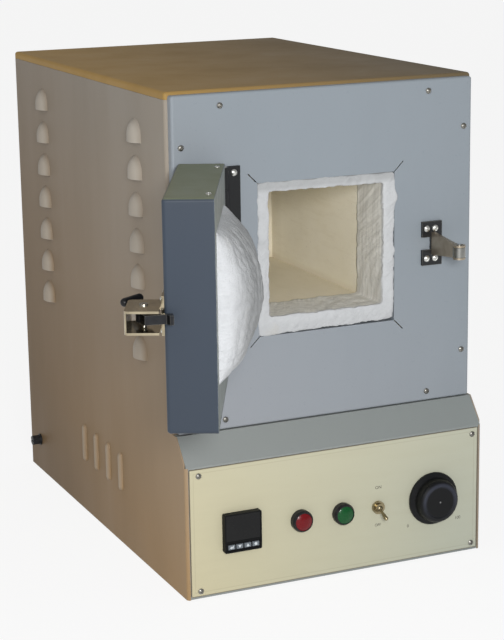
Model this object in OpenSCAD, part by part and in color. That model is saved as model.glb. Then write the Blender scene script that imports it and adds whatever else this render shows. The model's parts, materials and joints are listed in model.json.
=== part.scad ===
// Bench-top muffle furnace with a side-hung door, a coil-wound ceramic muffle and
// a control console under the chamber.
// X runs to the right, Y to the back and Z up. The origin is on the rest face, midway
// across, straight below the front plane of the casing.
// The door is drawn standing open. Its pieces are shaped as on the closed door and
// then swung out about the hinge pin.

/* [Casing] */
// Width over the side panels
casing_w = 400; // [370:1:500]
// Height over the top cover
casing_h = 600; // [590:1:720]
// Depth from the front plane to the rear edge
casing_d = 568; // [500:1:680]
// Thickness of the casing sheet
sheet_t = 1.5; // [1:0.1:2]
// Outer radius of the folded casing edges
fold_r = 4; // [3:0.5:5]
// Depth of the turned edge of the top cover
cover_lip = 9; // [7:1:14]
// Width of the flanges that the covers are screwed to
flange_w = 13; // [10:1:16]
// Gap at the seams between casing panels
seam = 0.3; // [0.2:0.1:0.6]

/* [Console] */
// Height of the console face
console_h = 164; // [150:1:176]
// How far the console stands in front of the casing
console_reach = 36; // [30:1:45]
// Rise of the sloping ledge above the console face
slope_rise = 32; // [26:1:36]
// Strip of console left bare on each side of the control panel
panel_margin = 5; // [4:1:10]
// Thickness of the control panel
panel_t = 1.5; // [1:0.1:2]
// Distance of the right and upper panel screws from the panel's edges
panel_screw_inset = 8; // [7:0.5:12]
// Distance of the left panel screws from the panel's left edge
panel_screw_left = 12; // [7:0.5:14]
// Distance of the lower panel screws from the panel's lower edge
panel_screw_low = 6.5; // [6:0.5:10]

/* [Louvres] */
// Number of hood louvres in a column
louvre_count = 7; // [3:1:7]
// Distance between louvres in a column
louvre_pitch = 44; // [42:1:46]
// Height of the lowest louvre's opening
louvre_low_z = 276; // [260:1:290]
// Distance of the front column behind the front plane
louvre_front_y = 97; // [60:1:130]
// Distance of the rear column ahead of the rear edge
louvre_rear_inset = 120; // [80:1:150]
// Half the width of a louvre
louvre_half = 20; // [14:1:24]
// How far a louvre stands out
louvre_out = 9; // [6:0.5:10]
// Straight height under the round part of a louvre
louvre_skirt = 8; // [4:1:12]
// Number of upright vents low on each side
vent_count = 4; // [2:1:6]
// Distance between the upright vents
vent_pitch = 46; // [30:1:50]
// Distance of the first upright vent behind the front plane
vent_first_y = 183; // [120:1:200]
// Height of the middle of the upright vents
vent_z = 97; // [70:1:120]
// Length of an upright vent
vent_len = 52; // [40:1:60]
// Half the width of an upright vent
vent_half = 6; // [5:0.5:8]
// How far an upright vent stands out
vent_out = 4; // [3:0.5:5]

/* [Front plate] */
// How far the front plate stands in front of the casing
plate_proud = 10; // [8:0.5:14]
// Strip of casing left bare around the front plate
plate_inset = 4; // [3:0.5:8]
// Outer radius of the front plate's edges
plate_r = 3; // [2.5:0.5:4]
// Length of the relief cut at each corner of the window
corner_cut = 15; // [8:1:18]
// Depth of the window's folded-in edges
window_lip = 14; // [11:1:16]

/* [Chamber] */
// Width of the chamber
chamber_w = 152; // [140:1:160]
// Height of the chamber
chamber_h = 150; // [140:1:160]
// Depth of the chamber, from its mouth to its back wall
chamber_d = 305; // [250:1:320]
// Height of the middle of the chamber
chamber_z = 401; // [396:1:404]
// Depth of the fibre lining between the mouth and the ceramic muffle
lining_d = 52; // [30:1:80]
// Wall of the ceramic muffle
muffle_t = 18; // [14:1:22]
// Thickness of the insulation boards
board_t = 60; // [40:1:62]
// Sheet of the inner shell
shell_t = 1.2; // [1:0.1:1.5]
// Diameter of the heating wire
wire_d = 3.2; // [2.5:0.1:4]
// Turns of the heating wire
wire_turns = 14; // [8:1:18]
// Width of the fibre collar's rim at each side of the mouth
collar_side = 14; // [12:0.5:18]
// Width of the rim above the mouth
collar_top = 12; // [10:0.5:16]
// Width of the rim below the mouth
collar_low = 21; // [16:0.5:22]
// Diameter of the thermocouple sheath
probe_d = 8; // [5:0.5:10]
// Length of the probe inside the chamber
probe_reach = 30; // [15:1:50]

/* [Door] */
// Width of the door
door_w = 230; // [222:1:236]
// Height of the door
door_h = 250; // [236:1:256]
// Thickness of the door
door_t = 54; // [46:1:55]
// Outer radius of the door's folded edges
door_r = 4; // [3:0.5:5]
// Sheet of the door
door_sheet = 1.5; // [1.2:0.1:2]
// Space between the front plate and the closed door
door_gap = 5; // [4.5:0.1:6]
// How far the door stands open, in degrees
door_open = 116; // [105:1:117]
// How far the pad swells out of the door
pad_out = 42; // [24:1:44]
// Running clearance between the pad and the collar
pad_clear = 1.5; // [1:0.1:3]

/* [Hinges] */
// Height of a hinge
hinge_h = 76; // [60:1:80]
// Distance of each hinge's far end above or below the collar's middle
hinge_reach = 115; // [105:1:118]
// Distance from the hinge pin to the door's edge
hinge_arm = 21; // [20:0.5:23]
// Distance of the hinge pin in front of the front plate
hinge_lift = 7.5; // [7:0.5:8]
// Outer radius of the hinge barrel
barrel_r = 6; // [5.5:0.1:6.5]
// Radius of the hinge pin
hinge_pin_r = 2.5; // [2:0.1:3]
// Thickness of the hinge leaves
leaf_t = 3; // [2.5:0.1:3.5]

/* [Latch] */
// Height of the latch housing
latch_h = 25; // [24:1:32]
// How far the housing stands out from the door
latch_out = 39; // [36:1:42]
// How far the housing reaches past the door's edge
latch_past = 28; // [26:1:30]
// Length of the housing
latch_len = 55; // [52:1:60]
// Turn of the lever between latched and released, in degrees
latch_turn = 16; // [14:1:18]
// Length of the lever's handle from its pin
handle_len = 78; // [70:1:86]
// Diameter of the black grip rod across the end of the handle
grip_d = 9.6; // [8:0.2:12]
// Length of the grip rod
grip_len = 35; // [30:1:38]
// Angle of the grip rod across the handle, in degrees
grip_turn = 48; // [40:1:60]
// Radius of the keeper's roller
roller_r = 7.5; // [6:0.5:8]
// Height of the roller
roller_h = 11.6; // [10:0.2:12]

/* [Controls] */
// Height of the row of controls
controls_z = 78; // [70:1:86]
// Place of the temperature controller across the panel
controller_x = -130; // [-140:1:-120]
// Side of the square controller bezel
controller_side = 48; // [44:1:52]
// Place of the red lamp
red_lamp_x = -51; // [-60:1:-45]
// Place of the green lamp
green_lamp_x = 5; // [-3:1:12]
// Place of the toggle switch
toggle_x = 54; // [45:1:65]
// Place of the regulator knob
knob_x = 131; // [120:1:140]
// Diameter of the knob's skirt
knob_d = 67; // [50:1:70]
// Height of the knob
knob_h = 21; // [16:1:26]
// Diameter of a lamp bezel
lamp_d = 27; // [22:1:30]
// Tilt of the toggle lever at either end of its travel
toggle_tilt = 24; // [12:1:24]

/* [Fuse] */
// Distance of the fuse holder ahead of the rear edge of the left side
fuse_inset = 46; // [40:1:60]
// Height of the fuse holder
fuse_z = 46; // [36:1:60]
// Diameter of the fuse holder's cap
fuse_d = 13; // [12:0.5:16]
// How far the cap stands out
fuse_out = 13; // [10:1:16]

/* [Fits] */
// Radial clearance of a shaft that turns in a bore
running = 0.05; // [0.02:0.01:0.1]
// Gap between pieces that sit inside one another
seat = 0.3; // [0.2:0.1:0.5]

/* [Hidden] */
// Curve quality of round pieces
$fn = 48;
// Small overlap that lets a cut pass clean through
cut = 1;

// Casing
inner_w = casing_w - 2*sheet_t;
step_z = console_h + slope_rise;
cover_z = casing_h - cover_lip;
// Front plate
plate_w = casing_w - 2*plate_inset;
plate_low = step_z + 1;
plate_h = casing_h - plate_inset - plate_low;
plate_y = -plate_proud;
plate_mid = plate_low + plate_h/2;
// Muffle, insulation and shell
muffle_w = chamber_w + 2*muffle_t;
muffle_h = chamber_h + 2*muffle_t;
throat_y = 8.5;
muffle_y = throat_y + lining_d;
muffle_len = chamber_d - lining_d + muffle_t;
wire_bed = wire_d + 1;
liner_w = muffle_w + 2*wire_bed;
liner_h = muffle_h + 2*wire_bed;
shell_w = liner_w + 2*board_t + 2*shell_t;
shell_h = liner_h + 2*board_t + 2*shell_t;
shell_len = muffle_y + muffle_len + board_t + shell_t;
shelf_z = chamber_z - shell_h/2;
// The boards start behind the lip of the front plate's window
board_y = max(sheet_t + seam, plate_y + window_lip + seam);
// Collar and the window round it
collar_w = chamber_w + 2*collar_side;
collar_h = chamber_h + collar_top + collar_low;
collar_y = plate_y - 1.5;
mouth_z = chamber_z + (collar_top - collar_low)/2;
window_w = collar_w + 2*seat + 2*shell_t;
window_h = collar_h + 2*seat + 2*shell_t;
// Door, drawn closed
door_in = plate_y - door_gap;
door_out = door_in - door_t;
door_z = mouth_z - 1.5;
pin_x = -door_w/2 - hinge_arm;
pin_y = plate_y - hinge_lift;
liner_gap = 0.2;
tray_w = door_w - 2*door_sheet - 2*liner_gap;
tray_h = door_h - 2*door_sheet - 2*liner_gap;
tray_deep = 12;
pad_w = chamber_w + 20;
pad_h = chamber_h + 14;
pad_lip = 2;
pad_root = 1.5;
pad_z = mouth_z;
hole_w = pad_w + 2*seat;
hole_h = pad_h + 2*seat;
// Hinges
knuckle_gap = 0.4;
knuckle_h = (hinge_h - 2*knuckle_gap)/3;
leaf_w = hinge_arm + 2;
upper_z = mouth_z + hinge_reach - hinge_h/2;
lower_z = mouth_z - hinge_reach + hinge_h/2;
leaf_screw_x = pin_x + 15;
leaf_screw_z = hinge_h/2 - 7.5;
// Latch
latch_z = mouth_z;
latch_tip = door_w/2 + latch_past;
latch_tail = latch_tip - latch_len;
latch_face = door_out - latch_out;
latch_wall = 2.5;
pivot_x = door_w/2 - 3;
pivot_y = door_out - 21;
pivot_r = 3;
roller_x = latch_tip - 1;
roller_y = door_out - roller_r + 0.5;
lever_h = 10;
// The handle's grip and the tang that holds it
grip_x = pivot_x - handle_len;
grip_neck = 11;
tang = 2;
foot_plate_t = 3;
// Keeper
keeper_t = 4;
keeper_arm = 4.6;
ear_h = 2.3;
// Controls
face_y = -console_reach;
lamp_out = 10;
lens_r = lamp_d/2 - 2.6;
dial_r = 5;
key_w = 8.4;
key_h = 5.4;
key_z = controls_z - controller_side/2 + 7.2;
key_xs = [for (i = [0:3]) controller_x + (i - 1.5)*10.4];
bezel_out = 8;
toggle_nut_h = 4;
// Cord gland in the rear panel
gland_x = 130;
gland_z = 70;
gland_r = 10;
// Fuse holder in the left side
fuse_thread_r = 5.2;
// Fasteners
screw_r = 2;
screw_hole_r = 2.2;
plate_screws = [
    [-casing_w/2 + 15, plate_mid + 140],
    [casing_w/2 - 15, plate_mid + 140],
    [-136, plate_low + plate_h - 14],
    [136, plate_low + plate_h - 14],
    [casing_w/2 - 15, plate_low + 60],
    [-136, plate_low + 12],
    [136, plate_low + 12]
];

// ---- Shapes that repeat ----

// A box between two corners
module block(low, high) {
    translate(low) cube(high - low);
}

// A shallow tray, open at its back, with every folded edge and corner rounded.
// It is centred on X and Z, its face looks along -Y and its back is at Y = 0.
module folded_tray(w, h, d, r, t) {
    difference() {
        union() {
            block([-w/2 + r, -d + r, -h/2], [w/2 - r, 0, h/2]);
            block([-w/2, -d + r, -h/2 + r], [w/2, 0, h/2 - r]);
            block([-w/2 + r, -d, -h/2 + r], [w/2 - r, 0, h/2 - r]);
            for (x = [-w/2 + r, w/2 - r]) {
                translate([x, -d + r, -h/2 + r]) cylinder(r = r, h = h - 2*r);
                for (z = [-h/2 + r, h/2 - r]) {
                    translate([x, 0, z]) rotate([90, 0, 0]) cylinder(r = r, h = d - r);
                    translate([x, -d + r, z]) sphere(r = r);
                }
            }
            for (z = [-h/2 + r, h/2 - r])
                translate([-w/2 + r, -d + r, z])
                    rotate([0, 90, 0]) cylinder(r = r, h = w - 2*r);
        }
        block([-w/2 + t, -d + t, -h/2 + t], [w/2 - t, cut, h/2 - t]);
    }
}

// A round bar along Y, from one depth to another
module bar_y(x, z, r, y_from, y_to) {
    translate([x, y_to, z]) rotate([90, 0, 0]) cylinder(r = r, h = y_to - y_from);
}

// A pan-headed screw driven along +Y, its head seated on a face
module pan_screw(x, z, y_face, shank, head_r = 3.6, head_h = 2.4) {
    translate([x, y_face, z]) rotate([90, 0, 0]) {
        difference() {
            rotate_extrude() {
                intersection() {
                    square([head_r, head_h]);
                    translate([0, head_h - head_r*1.35])
                        circle(r = head_r*1.35, $fn = 64);
                }
            }
            for (a = [0, 90])
                rotate([0, 0, a]) block([-head_r*0.6, -0.45, head_h - 1.1],
                                        [head_r*0.6, 0.45, head_h + cut]);
        }
        translate([0, 0, -shank]) cylinder(r = screw_r, h = shank);
    }
}

// A quarter-round fold standing on Z, its outer corner at the origin, opening to +X +Y
module upright_fold(h) {
    linear_extrude(h) {
        intersection() {
            square(fold_r);
            translate([fold_r, fold_r]) difference() {
                circle(r = fold_r);
                circle(r = fold_r - sheet_t);
            }
        }
    }
}

// Swings a piece of the closed door out to where the door stands
module swung_open() {
    translate([pin_x, pin_y, 0]) rotate([0, 0, -door_open])
        translate([-pin_x, -pin_y, 0]) children();
}

// Turns a piece of the latch lever from latched to released
module released() {
    translate([pivot_x, pivot_y, 0]) rotate([0, 0, latch_turn])
        translate([-pivot_x, -pivot_y, 0]) children();
}

// ---- Casing ----

// A louvre's dome about its opening's middle, on the plane X = 0, standing out to -X
module hood_dome(half, out) {
    dome_r = (half*half + out*out)/(2*out);
    intersection() {
        union() {
            translate([dome_r - out, 0, 0]) sphere(r = dome_r, $fn = 96);
            translate([dome_r - out, 0, -louvre_skirt])
                cylinder(r = dome_r, h = louvre_skirt, $fn = 96);
        }
        block([-out - cut, -half, -louvre_skirt], [sheet_t/2, half, half]);
    }
}

// The hollow behind a louvre, cut through the sheet
module hood_hollow() {
    dome_r = (louvre_half*louvre_half + louvre_out*louvre_out)/(2*louvre_out);
    inner_r = dome_r - sheet_t;
    intersection() {
        union() {
            translate([dome_r - louvre_out, 0, 0]) sphere(r = inner_r, $fn = 96);
            translate([dome_r - louvre_out, 0, -louvre_skirt - cut])
                cylinder(r = inner_r, h = louvre_skirt + cut, $fn = 96);
        }
        block([-louvre_out - cut, -louvre_half, -louvre_skirt - cut],
              [sheet_t + cut, louvre_half, louvre_half]);
    }
}

// An upright vent: a half-round bead, open along its rear edge
module vent_bead(grow) {
    bead_r = (vent_half*vent_half + vent_out*vent_out)/(2*vent_out);
    reach = vent_len/2 - vent_half;
    intersection() {
        translate([bead_r - vent_out, 0, 0]) {
            translate([0, 0, -reach]) cylinder(r = bead_r + grow, h = 2*reach);
            for (z = [-reach, reach]) translate([0, 0, z]) sphere(r = bead_r + grow);
        }
        block([-vent_out - cut, -vent_half - cut, -vent_len/2 - cut],
              [grow < 0 ? sheet_t + cut : sheet_t/2, vent_half + cut, vent_len/2 + cut]);
    }
}

// One side panel, drawn for the left side, with its outer face at -casing_w/2
module side_panel() {
    wall = -casing_w/2;
    hoods = [
        for (y = [louvre_front_y, casing_d - louvre_rear_inset])
            for (i = [0:louvre_count - 1])
                [wall, y, louvre_low_z + i*louvre_pitch]
    ];
    vents = [for (i = [0:vent_count - 1]) [wall, vent_first_y + i*vent_pitch, vent_z]];
    difference() {
        union() {
            translate([wall, 0, 0]) rotate([90, 0, 90]) linear_extrude(sheet_t)
                polygon([
                    [fold_r + face_y, 0],
                    [casing_d - fold_r, 0],
                    [casing_d - fold_r, cover_z - seam],
                    [fold_r, cover_z - seam],
                    [fold_r, step_z],
                    [plate_y, step_z],
                    [fold_r + face_y, console_h + fold_r*slope_rise/(console_reach - plate_proud)]
                ]);
            translate([wall, 0, step_z]) upright_fold(cover_z - seam - step_z);
            translate([wall, face_y, 0]) upright_fold(console_h);
            block([wall + fold_r, 0, step_z], [wall + fold_r + flange_w, sheet_t, cover_z - seam]);
            translate([wall, casing_d, 0]) mirror([0, 1, 0]) upright_fold(cover_z - seam);
            block([wall + fold_r, casing_d - sheet_t, 0],
                  [wall + fold_r + flange_w, casing_d, cover_z - seam]);
            for (p = hoods) translate(p) hood_dome(louvre_half, louvre_out);
            for (p = vents) translate(p) vent_bead(0);
        }
        for (p = hoods) translate(p) hood_hollow();
        for (p = vents) translate(p) {
            vent_bead(-sheet_t);
            block([-vent_out - cut, vent_half*0.45, -vent_len/2 + vent_half],
                  [-0.01, vent_half + cut, vent_len/2 - vent_half]);
        }
    }
}

// A bar along X between two distances from the left side, at the fuse holder's place
module fuse_bar(r, from, to, facets = 48) {
    translate([from - casing_w/2, casing_d - fuse_inset, fuse_z]) rotate([0, 90, 0])
        cylinder(r = r, h = to - from, $fn = facets);
}

module left_side_panel() {
    color("#8c8578") difference() {
        side_panel();
        fuse_bar(fuse_thread_r + seat, -cut, sheet_t + cut);
    }
}

module right_side_panel() {
    color("#8c8578") mirror([1, 0, 0]) side_panel();
}

module top_cover() {
    color("#857f6c")
        translate([0, casing_d/2, cover_z]) rotate([-90, 0, 0])
            folded_tray(casing_w, casing_d, cover_lip, fold_r, sheet_t);
}

module rear_panel() {
    margin = 4;
    color("#8c8578") difference() {
        block([-casing_w/2 + margin, casing_d, margin],
              [casing_w/2 - margin, casing_d + sheet_t, casing_h - margin]);
        for (side = [-1, 1]) {
            for (i = [0:9])
                block([side*90 - 45, casing_d - cut, 400 + i*14],
                      [side*90 + 45, casing_d + sheet_t + cut, 405 + i*14]);
        }
        bar_y(gland_x, gland_z, gland_r + seat, casing_d - cut, casing_d + sheet_t + cut);
    }
}

module base_pan() {
    front = face_y + panel_t + sheet_t + seam;
    back = casing_d - fold_r - seam;
    half = inner_w/2 - seam;
    rim = 20;
    color("#77736a") difference() {
        block([-half, front, 0], [half, back, rim]);
        block([-half + sheet_t, front + sheet_t, sheet_t],
              [half - sheet_t, back - sheet_t, rim + cut]);
        for (p = panel_screw_places())
            bar_y(p[0], p[1], screw_hole_r, front - cut, front + sheet_t + cut);
        for (side = [-1, 1])
            block([side > 0 ? half - fold_r + sheet_t : -half - cut, front - cut, -cut],
                  [side > 0 ? half + cut : -half + fold_r - sheet_t, face_y + fold_r + seam,
                   rim + cut]);
        for (side = [-1, 1]) {
            for (i = [0:5])
                block([side*110 - 35, casing_d - 180 + i*20, -cut],
                      [side*110 + 35, casing_d - 174 + i*20, sheet_t + cut]);
        }
    }
}

// The folded sheet that forms the sloping ledge and carries the control panel
module console_fascia() {
    half = inner_w/2 - seam;
    back = face_y + panel_t;
    tilt = atan2(slope_rise, console_reach - plate_proud);
    rise = sheet_t/sin(tilt);
    drop = sheet_t/cos(tilt);
    nib = panel_t + 0.4;
    nose_strip = fold_r - sheet_t;
    color("#8e8d84") difference() {
        translate([-half, 0, 0]) rotate([90, 0, 90]) linear_extrude(2*half)
            polygon([
                [back, 0],
                [back, console_h - nib],
                [face_y, console_h - nib],
                [face_y, console_h],
                [plate_y, step_z],
                [-seam, step_z],
                [-seam, step_z - sheet_t],
                [plate_y + rise - sheet_t*tan(90 - tilt), step_z - sheet_t],
                [back + sheet_t, console_h - drop + (panel_t + sheet_t)*tan(tilt)],
                [back + sheet_t, 0]
            ]);
        for (side = [-1, 1])
            translate([side*(half + cut), 0, 0])
                block([side > 0 ? -nose_strip - cut : 0, face_y - cut, -cut],
                      [side > 0 ? 0 : nose_strip + cut, back + sheet_t + cut, console_h]);
        control_cutouts(back, back + sheet_t);
    }
}

// Openings that the controls pass through, from one depth to another
module control_cutouts(y_from, y_to) {
    hole = controller_side/2 - 1.5;
    block([controller_x - hole, y_from - cut, controls_z - hole],
          [controller_x + hole, y_to + cut, controls_z + hole]);
    for (x = [red_lamp_x, green_lamp_x])
        bar_y(x, controls_z, lens_r + seat, y_from - cut, y_to + cut);
    bar_y(toggle_x, controls_z, 6 + seat, y_from - cut, y_to + cut);
    bar_y(knob_x, controls_z, dial_r + seat, y_from - cut, y_to + cut);
    for (p = panel_screw_places())
        bar_y(p[0], p[1], screw_hole_r, y_from - cut, y_to + cut);
}

function panel_screw_places() = [
    for (x = [panel_margin + panel_screw_left - casing_w/2,
              casing_w/2 - panel_margin - panel_screw_inset])
        for (z = [panel_margin - 2 + panel_screw_low, console_h - 3 - panel_screw_inset])
            [x, z]
];

module control_panel() {
    half = casing_w/2 - panel_margin;
    low = panel_margin - 2;
    high = console_h - panel_t - 1;
    r = 2;
    color("#c6bea5") difference() {
        union() {
            block([-half + r, face_y, low], [half - r, face_y + panel_t, high]);
            block([-half, face_y, low + r], [half, face_y + panel_t, high - r]);
            for (x = [-half + r, half - r])
                for (z = [low + r, high - r])
                    bar_y(x, z, r, face_y, face_y + panel_t);
        }
        control_cutouts(face_y, face_y + panel_t);
    }
}

module panel_screws() {
    color("silver") for (p = panel_screw_places())
        pan_screw(p[0], p[1], face_y, panel_t + sheet_t + 4);
}

module front_plate() {
    flange = [window_w/2, window_h/2];
    color("#969da5") difference() {
        union() {
            translate([0, 0, plate_mid])
                folded_tray(plate_w, plate_h, plate_proud, plate_r, sheet_t);
            block([-flange[0], plate_y, mouth_z - flange[1]],
                  [flange[0], plate_y + window_lip, mouth_z + flange[1]]);
        }
        block([-flange[0] + shell_t, plate_y - cut, mouth_z - flange[1] + shell_t],
              [flange[0] - shell_t, plate_y + window_lip + cut,
               mouth_z + flange[1] - shell_t]);
        for (sx = [-1, 1])
            for (sz = [-1, 1])
                translate([sx*flange[0], plate_y, mouth_z + sz*flange[1]])
                    rotate([0, sx*sz < 0 ? 45 : -45, 0])
                        block([sx > 0 ? -2 : -corner_cut, -cut, -0.7],
                              [sx > 0 ? corner_cut : 2, sheet_t + cut, 0.7]);
        for (p = plate_screws)
            bar_y(p[0], p[1], screw_hole_r, plate_y - cut, plate_y + sheet_t + cut);
    }
}

module front_plate_screws() {
    color("silver") for (p = plate_screws)
        pan_screw(p[0], p[1], plate_y, plate_proud - 1);
}

module shelf() {
    half = inner_w/2 - seam;
    lip = 16;
    color("#77736a") difference() {
        block([-half, fold_r + seam, shelf_z - lip],
              [half, casing_d - fold_r - seam, shelf_z]);
        block([-half + sheet_t, sheet_t, shelf_z - lip - cut],
              [half - sheet_t, casing_d, shelf_z - sheet_t]);
    }
}

// ---- Chamber ----

module inner_shell() {
    color("#a5a7a6") difference() {
        block([-shell_w/2, sheet_t + seam, shelf_z], [shell_w/2, shell_len, shelf_z + shell_h]);
        block([-shell_w/2 + shell_t, 0, shelf_z + shell_t],
              [shell_w/2 - shell_t, shell_len - shell_t, shelf_z + shell_h - shell_t]);
        bar_y(0, chamber_z + chamber_h/4, probe_d/2 + seat,
              shell_len - shell_t - cut, shell_len + cut);
    }
}

// A board above or below the muffle, across the whole shell
module level_board(side) {
    half = shell_w/2 - shell_t;
    low = chamber_z + (side > 0 ? liner_h/2 : -liner_h/2 - board_t);
    block([-half, board_y, low], [half, shell_len - shell_t - board_t, low + board_t]);
}

module insulation_top() {
    color("#e8e4da") level_board(1);
}

module insulation_bottom() {
    color("#e8e4da") level_board(-1);
}

// A board beside the muffle
module side_board(side) {
    near = liner_w/2;
    block([side > 0 ? near : -near - board_t, board_y, chamber_z - liner_h/2],
          [side > 0 ? near + board_t : -near, shell_len - shell_t - board_t,
           chamber_z + liner_h/2]);
}

module insulation_left() {
    color("#e8e4da") side_board(-1);
}

module insulation_right() {
    color("#e8e4da") side_board(1);
}

module insulation_rear() {
    half = shell_w/2 - shell_t;
    color("#e8e4da") difference() {
        block([-half, shell_len - shell_t - board_t, shelf_z + shell_t],
              [half, shell_len - shell_t, shelf_z + shell_h - shell_t]);
        bar_y(0, chamber_z + chamber_h/4, probe_d/2 + seat,
              shell_len - shell_t - board_t - cut, shell_len);
    }
}

module muffle() {
    color("#b9a878") difference() {
        block([-muffle_w/2, muffle_y, chamber_z - muffle_h/2],
              [muffle_w/2, muffle_y + muffle_len, chamber_z + muffle_h/2]);
        block([-chamber_w/2, muffle_y - cut, chamber_z - chamber_h/2],
              [chamber_w/2, throat_y + chamber_d, chamber_z + chamber_h/2]);
        bar_y(0, chamber_z + chamber_h/4, probe_d/2 + seat,
              throat_y + chamber_d - cut, muffle_y + muffle_len + cut);
    }
}

// Square turns of wire round the muffle, each joined to the next, on a bed of cement
module heating_coil() {
    pitch = (muffle_len - muffle_t - 30)/(wire_turns - 1);
    inner = [muffle_w/2 + seat, muffle_h/2 + seat];
    outer = [inner[0] + wire_d, inner[1] + wire_d];
    tail = muffle_y + muffle_len - 2;
    color("#6b5a4e") {
        for (i = [0:wire_turns - 1]) {
            y = muffle_y + 15 + i*pitch;
            difference() {
                block([-outer[0], y, chamber_z - outer[1]],
                      [outer[0], y + wire_d, chamber_z + outer[1]]);
                block([-inner[0], y - cut, chamber_z - inner[1]],
                      [inner[0], y + wire_d + cut, chamber_z + inner[1]]);
            }
            x = i % 2 == 0 ? inner[0] : -outer[0];
            block([x, y + wire_d/2, chamber_z - wire_d/2],
                  [x + wire_d, i < wire_turns - 1 ? y + pitch + wire_d/2 : tail,
                   chamber_z + wire_d/2]);
        }
    }
}

// White fibre round the mouth, with a wider body behind the window that lines the chamber
// as far as the muffle
module fibre_collar() {
    half = [chamber_w/2, chamber_h/2];
    step_y = plate_y + window_lip + seat;
    color("#ecebe6") difference() {
        union() {
            block([-collar_w/2, collar_y, mouth_z - collar_h/2],
                  [collar_w/2, step_y + cut, mouth_z + collar_h/2]);
            block([-muffle_w/2, step_y, chamber_z - muffle_h/2],
                  [muffle_w/2, muffle_y, chamber_z + muffle_h/2]);
        }
        block([-half[0], collar_y - cut, chamber_z - half[1]],
              [half[0], muffle_y + cut, chamber_z + half[1]]);
    }
}

module thermocouple() {
    z = chamber_z + chamber_h/4;
    tip = throat_y + chamber_d - probe_reach;
    head = shell_len;
    color("#9a9da0") {
        bar_y(0, z, probe_d/2, tip + probe_d/2, head + 2);
        translate([0, tip + probe_d/2, z]) sphere(r = probe_d/2);
        bar_y(0, z, 11, head + 0.1, head + 5);
        difference() {
            bar_y(0, z, 17, head + 5, head + 33);
            bar_y(0, z, 14, head + 31, head + 33 + cut);
        }
    }
}

module terminal_block() {
    w = 90;
    y = casing_d - 110;
    color("#e4ddc8") difference() {
        block([-w/2, y, sheet_t], [w/2, y + 30, sheet_t + 26]);
        for (i = [0:5])
            translate([-w/2 + 10 + i*14, y + 15, sheet_t + 12]) cylinder(r = 3.5, h = 20);
        for (i = [0:4])
            block([-w/2 + 16 + i*14, y - cut, sheet_t + 18],
                  [-w/2 + 18 + i*14, y + 31, sheet_t + 27]);
    }
}

module relay() {
    y = casing_d - 260;
    color("#3c3f42") {
        block([-120, y, sheet_t], [-60, y + 70, sheet_t + 8]);
        block([-115, y + 5, sheet_t + 8], [-65, y + 65, sheet_t + 55]);
        for (i = [0:2])
            block([-112 + i*17, y + 8, sheet_t + 55], [-102 + i*17, y + 62, sheet_t + 62]);
    }
}

// Fuse holder in the left side, with its slotted and fluted cap
module fuse_holder() {
    cap_r = fuse_d/2;
    color("#1c1c1e") difference() {
        union() {
            fuse_bar(cap_r + 1.5, -2, 0);
            fuse_bar(cap_r, -fuse_out, -1);
            fuse_bar(fuse_thread_r, -1, 36);
            fuse_bar(cap_r + 2.5, sheet_t, sheet_t + 3, 6);
        }
        for (i = [0:9])
            translate([0, casing_d - fuse_inset, fuse_z]) rotate([i*36, 0, 0])
                translate([0, fuse_inset - casing_d, cap_r + 0.5 - fuse_z])
                    fuse_bar(1.1, -fuse_out - cut, -3);
        block([-casing_w/2 - fuse_out - cut, casing_d - fuse_inset - cap_r, fuse_z - 0.7],
              [-casing_w/2 - fuse_out + 1.5, casing_d - fuse_inset + cap_r, fuse_z + 0.7]);
    }
}

// Gland in the rear panel, open for a supply cord
module cable_gland() {
    back = casing_d + sheet_t;
    color("#26272a") difference() {
        union() {
            bar_y(gland_x, gland_z, gland_r, casing_d - 12, back + 8);
            translate([gland_x, back + 8, gland_z]) rotate([90, 0, 0])
                cylinder(r = 14, h = 8, $fn = 6);
            translate([gland_x, casing_d, gland_z]) rotate([90, 0, 0])
                cylinder(r = 14, h = 5, $fn = 6);
            translate([gland_x, back + 8, gland_z]) rotate([-90, 0, 0])
                rotate_extrude() polygon([[0, 0], [11.5, 0], [11.5, 9], [9, 15], [0, 15]]);
        }
        bar_y(gland_x, gland_z, 5, casing_d - 13, back + 24);
    }
}

// ---- Controls ----

module controller_housing() {
    half = controller_side/2;
    wall = half - 2;
    body = half - 1.8;
    deep = 92;
    front = face_y - bezel_out;
    r = 2;
    color("#1d1e20") difference() {
        union() {
            block([controller_x - half + r, front, controls_z - half],
                  [controller_x + half - r, face_y, controls_z + half]);
            block([controller_x - half, front, controls_z - half + r],
                  [controller_x + half, face_y, controls_z + half - r]);
            for (x = [controller_x - half + r, controller_x + half - r])
                for (z = [controls_z - half + r, controls_z + half - r])
                    bar_y(x, z, r, front, face_y);
            block([controller_x - body, face_y - cut, controls_z - body],
                  [controller_x + body, face_y + deep, controls_z + body]);
        }
        block([controller_x - wall, front - cut, controls_z - wall + 12],
              [controller_x + wall, front + 2, controls_z + wall]);
        block([controller_x - wall, front - cut, controls_z - wall],
              [controller_x + wall, front + 1, controls_z - wall + 11]);
        for (x = key_xs)
            block([x - key_w/2 - seat, front - cut, key_z - key_h/2 - seat],
                  [x + key_w/2 + seat, front + 5, key_z + key_h/2 + seat]);
    }
}

// Dark window over the controller's display
module controller_window() {
    wall = controller_side/2 - 2 - seat/2;
    front = face_y - bezel_out;
    color("#101114")
        block([controller_x - wall, front + 0.4, controls_z - wall + 12 + seat/2],
              [controller_x + wall, front + 2, controls_z + wall]);
}

// One key of the controller, standing just proud of the bezel
module controller_key(i) {
    front = face_y - bezel_out;
    color("#8d9294")
        block([key_xs[i] - key_w/2, front - 0.6, key_z - key_h/2],
              [key_xs[i] + key_w/2, front + 3.5, key_z + key_h/2]);
}

module controller_key_1() {
    controller_key(0);
}

module controller_key_2() {
    controller_key(1);
}

module controller_key_3() {
    controller_key(2);
}

module controller_key_4() {
    controller_key(3);
}

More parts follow.
